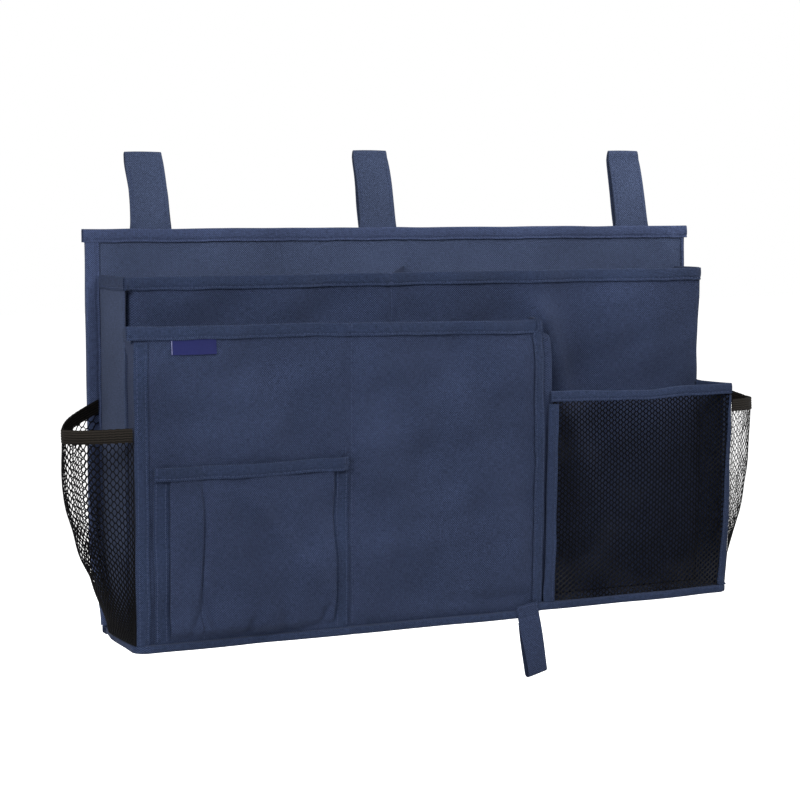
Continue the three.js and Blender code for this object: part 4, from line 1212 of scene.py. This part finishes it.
class CADDY_OT_materials(bpy.types.Operator):
    """Makes every finish: oxford cloth, edge tape, thread, net, elastic, hook and loop, label and board"""

    bl_idname = "caddy.materials"
    bl_label = "Materials"

    def execute(self, context):
        c, weave = context.scene.caddy_colours, sizes().weave
        # Solution-dyed polyester in a plain weave: matt, with a soft grain of crossings.
        woven("woven_oxford_cloth", c.cloth, weave, contrast=0.56, streak=0.6, depth=0.0007, roughness=0.85,
              sheen=0.02)
        # The same cloth with a film on its rear, as used over the boards, is flatter; it is painted paler, as painted
        # light for the extra light that the back panel catches. The straps and the middle pocket's gussets get a copy
        # that is a little darker, but still painted paler than the cloth.
        backed = dict(contrast=0.36, streak=0.5, depth=0.0006, roughness=0.82, sheen=0.03)
        woven("painted_lit_oxford_cloth", c.stiff, weave, **backed)
        woven("dimmer_painted_lit_cloth", [0.86 * v for v in c.stiff], weave, **backed)
        # Tape is the same yarn in a finer weave, so its grain is closer and harder. The back panel's is painted paler,
        # as painted light like its cloth.
        finer = weave * 0.8
        woven("painted_lit_edge_tape", c.stiff_tape, finer, contrast=0.66, streak=0.7, depth=0.0005, roughness=0.8,
              sheen=0.03)
        woven("woven_polyester_edge_tape", c.tape, finer, contrast=0.70, streak=0.7, depth=0.0006, roughness=0.8,
              sheen=0.03)
        # A woven satin label: smooth long floats that catch the light.
        woven("woven_satin_label", c.label, weave * 0.5, contrast=0.05, streak=0.10, depth=0.0001, roughness=0.5,
              sheen=0.05)
        # Sewing thread shines a little where it lies across the matt tape.
        self.thread("polyester_sewing_thread", c.thread, pitch=0.0009, roughness=0.6, shine=0.2)
        self.thread("pale_label_thread", linear(0x8E93B8), pitch=0.0009, roughness=0.6, shine=0.2)
        # The bottle nets' black yarn hardly shines, and the box pocket's is a matt charcoal with painted highlight
        # patches.
        self.thread("knitted_polyester_net", c.net, pitch=0.0012, roughness=0.7, shine=0.02)
        self.thread("knitted_box_net", c.box_net, pitch=0.0012, roughness=0.7, shine=0.02, patches=6.0)
        self.elastic(c.elastic)
        self.pile("hook_tape", c.grip, grain=0.0011, depth=0.0006)
        self.pile("loop_tape", c.grip, grain=0.0018, depth=0.0009)
        self.board(c.board)
        return {"FINISHED"}

    def thread(self, name, colour, pitch, roughness, shine, patches=0.0):
        """Twisted filament yarn: slanting plies along a strand."""
        tree = start_material(name)
        across, along = cloth_run(tree)[1:]
        ply = ripples(tree, math_node(tree, "ADD", across, along), pitch)
        shade = math_node(tree, "MULTIPLY_ADD", ply, 0.14, 1.0)
        if patches:
            # Painted highlight and shade: over areas of a few centimetres the threads are painted lighter in some
            # places and darker in others, for slack knit turning them to and from the light.
            drift = noise(tree, object_place(tree), {"Scale": 1 / 0.07, "Detail": 1.0})
            turned = math_node(tree, "MULTIPLY_ADD", math_node(tree, "SUBTRACT", drift, 0.53), patches, 0.8)
            shade = math_node(tree, "MULTIPLY", shade, math_node(tree, "MAXIMUM", turned, 0.5))
        finish_surface(tree, colour, shade, ply, 0.5, 0.0001, {"Roughness": roughness, "Specular IOR Level": shine})

    def elastic(self, colour):
        """Covered rubber woven with lengthwise ribs, with fine crosswise picks between them."""
        tree = start_material("woven_ribbed_elastic")
        across, along = cloth_run(tree)[1:]
        ribs, picks = ripples(tree, across, 0.0024, "COSINE"), ripples(tree, along, 0.0013)
        # Painted shade: much darker in the valleys between the ribs, where shade falls, and lighter on their crests.
        shade = math_node(tree, "MULTIPLY", math_node(tree, "MULTIPLY_ADD", ribs, -0.7, 1.0),
                          math_node(tree, "MULTIPLY_ADD", picks, 0.14, 1.0))
        finish_surface(tree, colour, shade, math_node(tree, "ADD", picks, ribs), 0.6, 0.0002,
                       {"Roughness": 0.8, "Specular IOR Level": 0.08})

    def pile(self, name, colour, grain, depth):
        """Hook or loop pile: a dense felt of fine hoops."""
        tree = start_material(name)
        place = object_place(tree)
        cells = add(tree, "ShaderNodeTexVoronoi", {"Scale": 1 / grain}, {"Vector": place})
        fuzz = noise(tree, place, {"Scale": 3 / grain, "Detail": 3.0})
        height = math_node(tree, "ADD", cells.outputs["Distance"], fuzz)
        finish_surface(tree, colour, math_node(tree, "MULTIPLY_ADD", height, 0.7, 0.45), height, 0.8, depth,
                       {"Roughness": 0.92, "Sheen Weight": 0.35, "Specular IOR Level": 0.2})

    def board(self, colour):
        """Grey polyethylene sheet with a faint moulded grain."""
        tree = start_material("moulded_polyethylene")
        grain = noise(tree, object_place(tree), {"Scale": 1 / 0.0015, "Detail": 2.0})
        finish_surface(tree, colour, math_node(tree, "MULTIPLY_ADD", grain, 0.12, 0.94), grain, 0.2, 0.0001,
                       {"Roughness": 0.45})


def seen_by(tree, *rays):
    """1 for the named kinds of ray, and 0 for the rest."""
    path = add(tree, "ShaderNodeLightPath")
    seen = path.outputs[f"Is {rays[0]} Ray"]
    for ray in rays[1:]:
        seen = math_node(tree, "MAXIMUM", seen, path.outputs[f"Is {ray} Ray"])
    return seen


class CADDY_OT_stage(bpy.types.Operator):
    """Sets the pale floor, the soft studio light and the camera"""

    bl_idname = "caddy.stage"
    bl_label = "Stage"

    def execute(self, context):
        scene = context.scene
        stage = scene.caddy_stage
        self.floor(stage)
        self.light(scene, stage)
        turn, up = stage.azimuth, stage.elevation
        away = Vector((math.sin(turn) * math.cos(up), -math.cos(turn) * math.cos(up), math.sin(up)))
        data = bpy.data.cameras.new("camera")
        data.lens = stage.lens
        data.sensor_width = 36.0
        data.sensor_fit = "HORIZONTAL"
        data.clip_end = 50
        camera = bpy.data.objects.new("camera", data)
        scene.collection.objects.link(camera)
        camera.location = Vector(stage.target) + away * stage.distance
        camera.rotation_mode = "QUATERNION"
        camera.rotation_quaternion = (-away).to_track_quat("-Z", "Y")
        scene.camera = camera
        scene.view_settings.view_transform = "Standard"
        return {"FINISHED"}

    def floor(self, stage):
        """A wide pale floor that reads white where it is lit and keeps the caddy's shadow under it."""
        reach = 12.0
        corners = [(x * reach, y * reach, -stage.floor_drop) for x, y in ((-1, -1), (1, -1), (1, 1), (-1, 1))]
        mesh = bpy.data.meshes.new("floor")
        mesh.from_pydata(corners, [], [(0, 1, 2, 3)])
        made = bpy.data.objects.new("floor", mesh)
        bpy.context.scene.collection.objects.link(made)
        tree = start_material("pale_floor")
        white, pale_grey = (1, 1, 1, 1), (0.8, 0.8, 0.8, 1)
        paint = add(tree, "ShaderNodeBsdfDiffuse", {"Color": pale_grey})
        # Far from the caddy, where the lamps hardly reach, the floor's own glow keeps it white.
        place = add(tree, "ShaderNodeTexCoord").outputs["Object"]
        shadow_shape, glow_starts, glow_full = (0.6, 1, 0), 0.22, 0.62
        flat = add(tree, "ShaderNodeVectorMath", {"operation": "MULTIPLY", 1: shadow_shape}, {0: place})
        away = add(tree, "ShaderNodeVectorMath", {"operation": "LENGTH"}, {0: flat.outputs[0]})
        far = add(tree, "ShaderNodeMapRange", {"interpolation_type": "SMOOTHSTEP", "From Min": glow_starts,
                                               "From Max": glow_full, "To Min": 0.0, "To Max": 1.0},
                  {"Value": away.outputs["Value"]})
        glow = add(tree, "ShaderNodeEmission", {"Color": white}, {"Strength": far.outputs[0]})
        both = add(tree, "ShaderNodeAddShader", links={0: paint.outputs[0], 1: glow.outputs[0]})
        mix = add(tree, "ShaderNodeMixShader", links={0: seen_by(tree, "Camera", "Glossy"), 1: paint.outputs[0],
                                                      2: both.outputs[0]})
        finish_material(tree, mix)
        mesh.materials.append(bpy.data.materials["pale_floor"])

    def light(self, scene, stage):
        """Soft light from all round, a long softbox above the front, one at the left and one behind."""
        world = bpy.data.worlds.new("studio")
        scene.world = world
        world.use_nodes = True
        tree = world.node_tree
        tree.nodes.clear()
        shown, soft = (add(tree, "ShaderNodeBackground", {"Color": (1, 1, 1, 1), "Strength": strength})
                       for strength in (1.0, stage.fill))
        mix = add(tree, "ShaderNodeMixShader", links={0: seen_by(tree, "Camera", "Glossy", "Transmission"),
                                                      1: soft.outputs[0], 2: shown.outputs[0]})
        add(tree, "ShaderNodeOutputWorld", links={"Surface": mix.outputs[0]})
        # Each softbox: where it stands, how wide and tall it is, and its power. All face the caddy's middle.
        lamps = (("top_softbox", (0.5, -0.45, 0.58), (2.0, 0.5), stage.top),
                 ("left_softbox", (-1.9, -1.5, 0.7), (0.8, 0.8), stage.key),
                 ("rear_softbox", (0.4, 2.1, 0.9), (1.6, 1.2), stage.rear))
        middle = Vector((0, -0.05, -0.2))
        for name, place, size, power in lamps:
            data = bpy.data.lights.new(name, "AREA")
            data.shape = "RECTANGLE"
            data.size, data.size_y = size
            data.energy = power
            lamp = bpy.data.objects.new(name, data)
            scene.collection.objects.link(lamp)
            lamp.location = place
            lamp.visible_camera = False
            lamp.rotation_mode = "QUATERNION"
            lamp.rotation_quaternion = (middle - Vector(place)).to_track_quat("-Z", "Y")


class CADDY_PT_panel(bpy.types.Panel):
    """Lists the steps that make the caddy"""

    bl_idname = "CADDY_PT_panel"
    bl_label = "Bedside Caddy"
    bl_space_type = "VIEW_3D"
    bl_region_type = "UI"
    bl_category = "Caddy"

    def draw(self, context):
        column = self.layout.column()
        for step in steps:
            column.operator(step.bl_idname)


steps = (CADDY_OT_materials, CADDY_OT_back_panel, CADDY_OT_base, CADDY_OT_middle_pocket, CADDY_OT_front_pocket,
         CADDY_OT_patch_pocket, CADDY_OT_box_pocket, CADDY_OT_bottle_pockets, CADDY_OT_straps, CADDY_OT_pull_loop,
         CADDY_OT_stage)
groups = (CaddySizes, CaddyColours, CaddyStage)


def register():
    for cls in (*groups, *steps, CADDY_PT_panel):
        bpy.utils.register_class(cls)
    bpy.types.Scene.caddy_sizes = bpy.props.PointerProperty(type=CaddySizes)
    bpy.types.Scene.caddy_colours = bpy.props.PointerProperty(type=CaddyColours)
    bpy.types.Scene.caddy_stage = bpy.props.PointerProperty(type=CaddyStage)


def unregister():
    del bpy.types.Scene.caddy_stage
    del bpy.types.Scene.caddy_colours
    del bpy.types.Scene.caddy_sizes
    for cls in (CADDY_PT_panel, *steps[::-1], *groups[::-1]):
        bpy.utils.unregister_class(cls)


def main():
    register()
    bpy.ops.caddy.materials()
    bpy.ops.caddy.back_panel()
    bpy.ops.caddy.base()
    bpy.ops.caddy.middle_pocket()
    bpy.ops.caddy.front_pocket()
    bpy.ops.caddy.patch_pocket()
    bpy.ops.caddy.box_pocket()
    bpy.ops.caddy.bottle_pockets()
    bpy.ops.caddy.straps()
    bpy.ops.caddy.pull_loop()
    bpy.ops.caddy.stage()


if __name__ == "__main__":
    main()
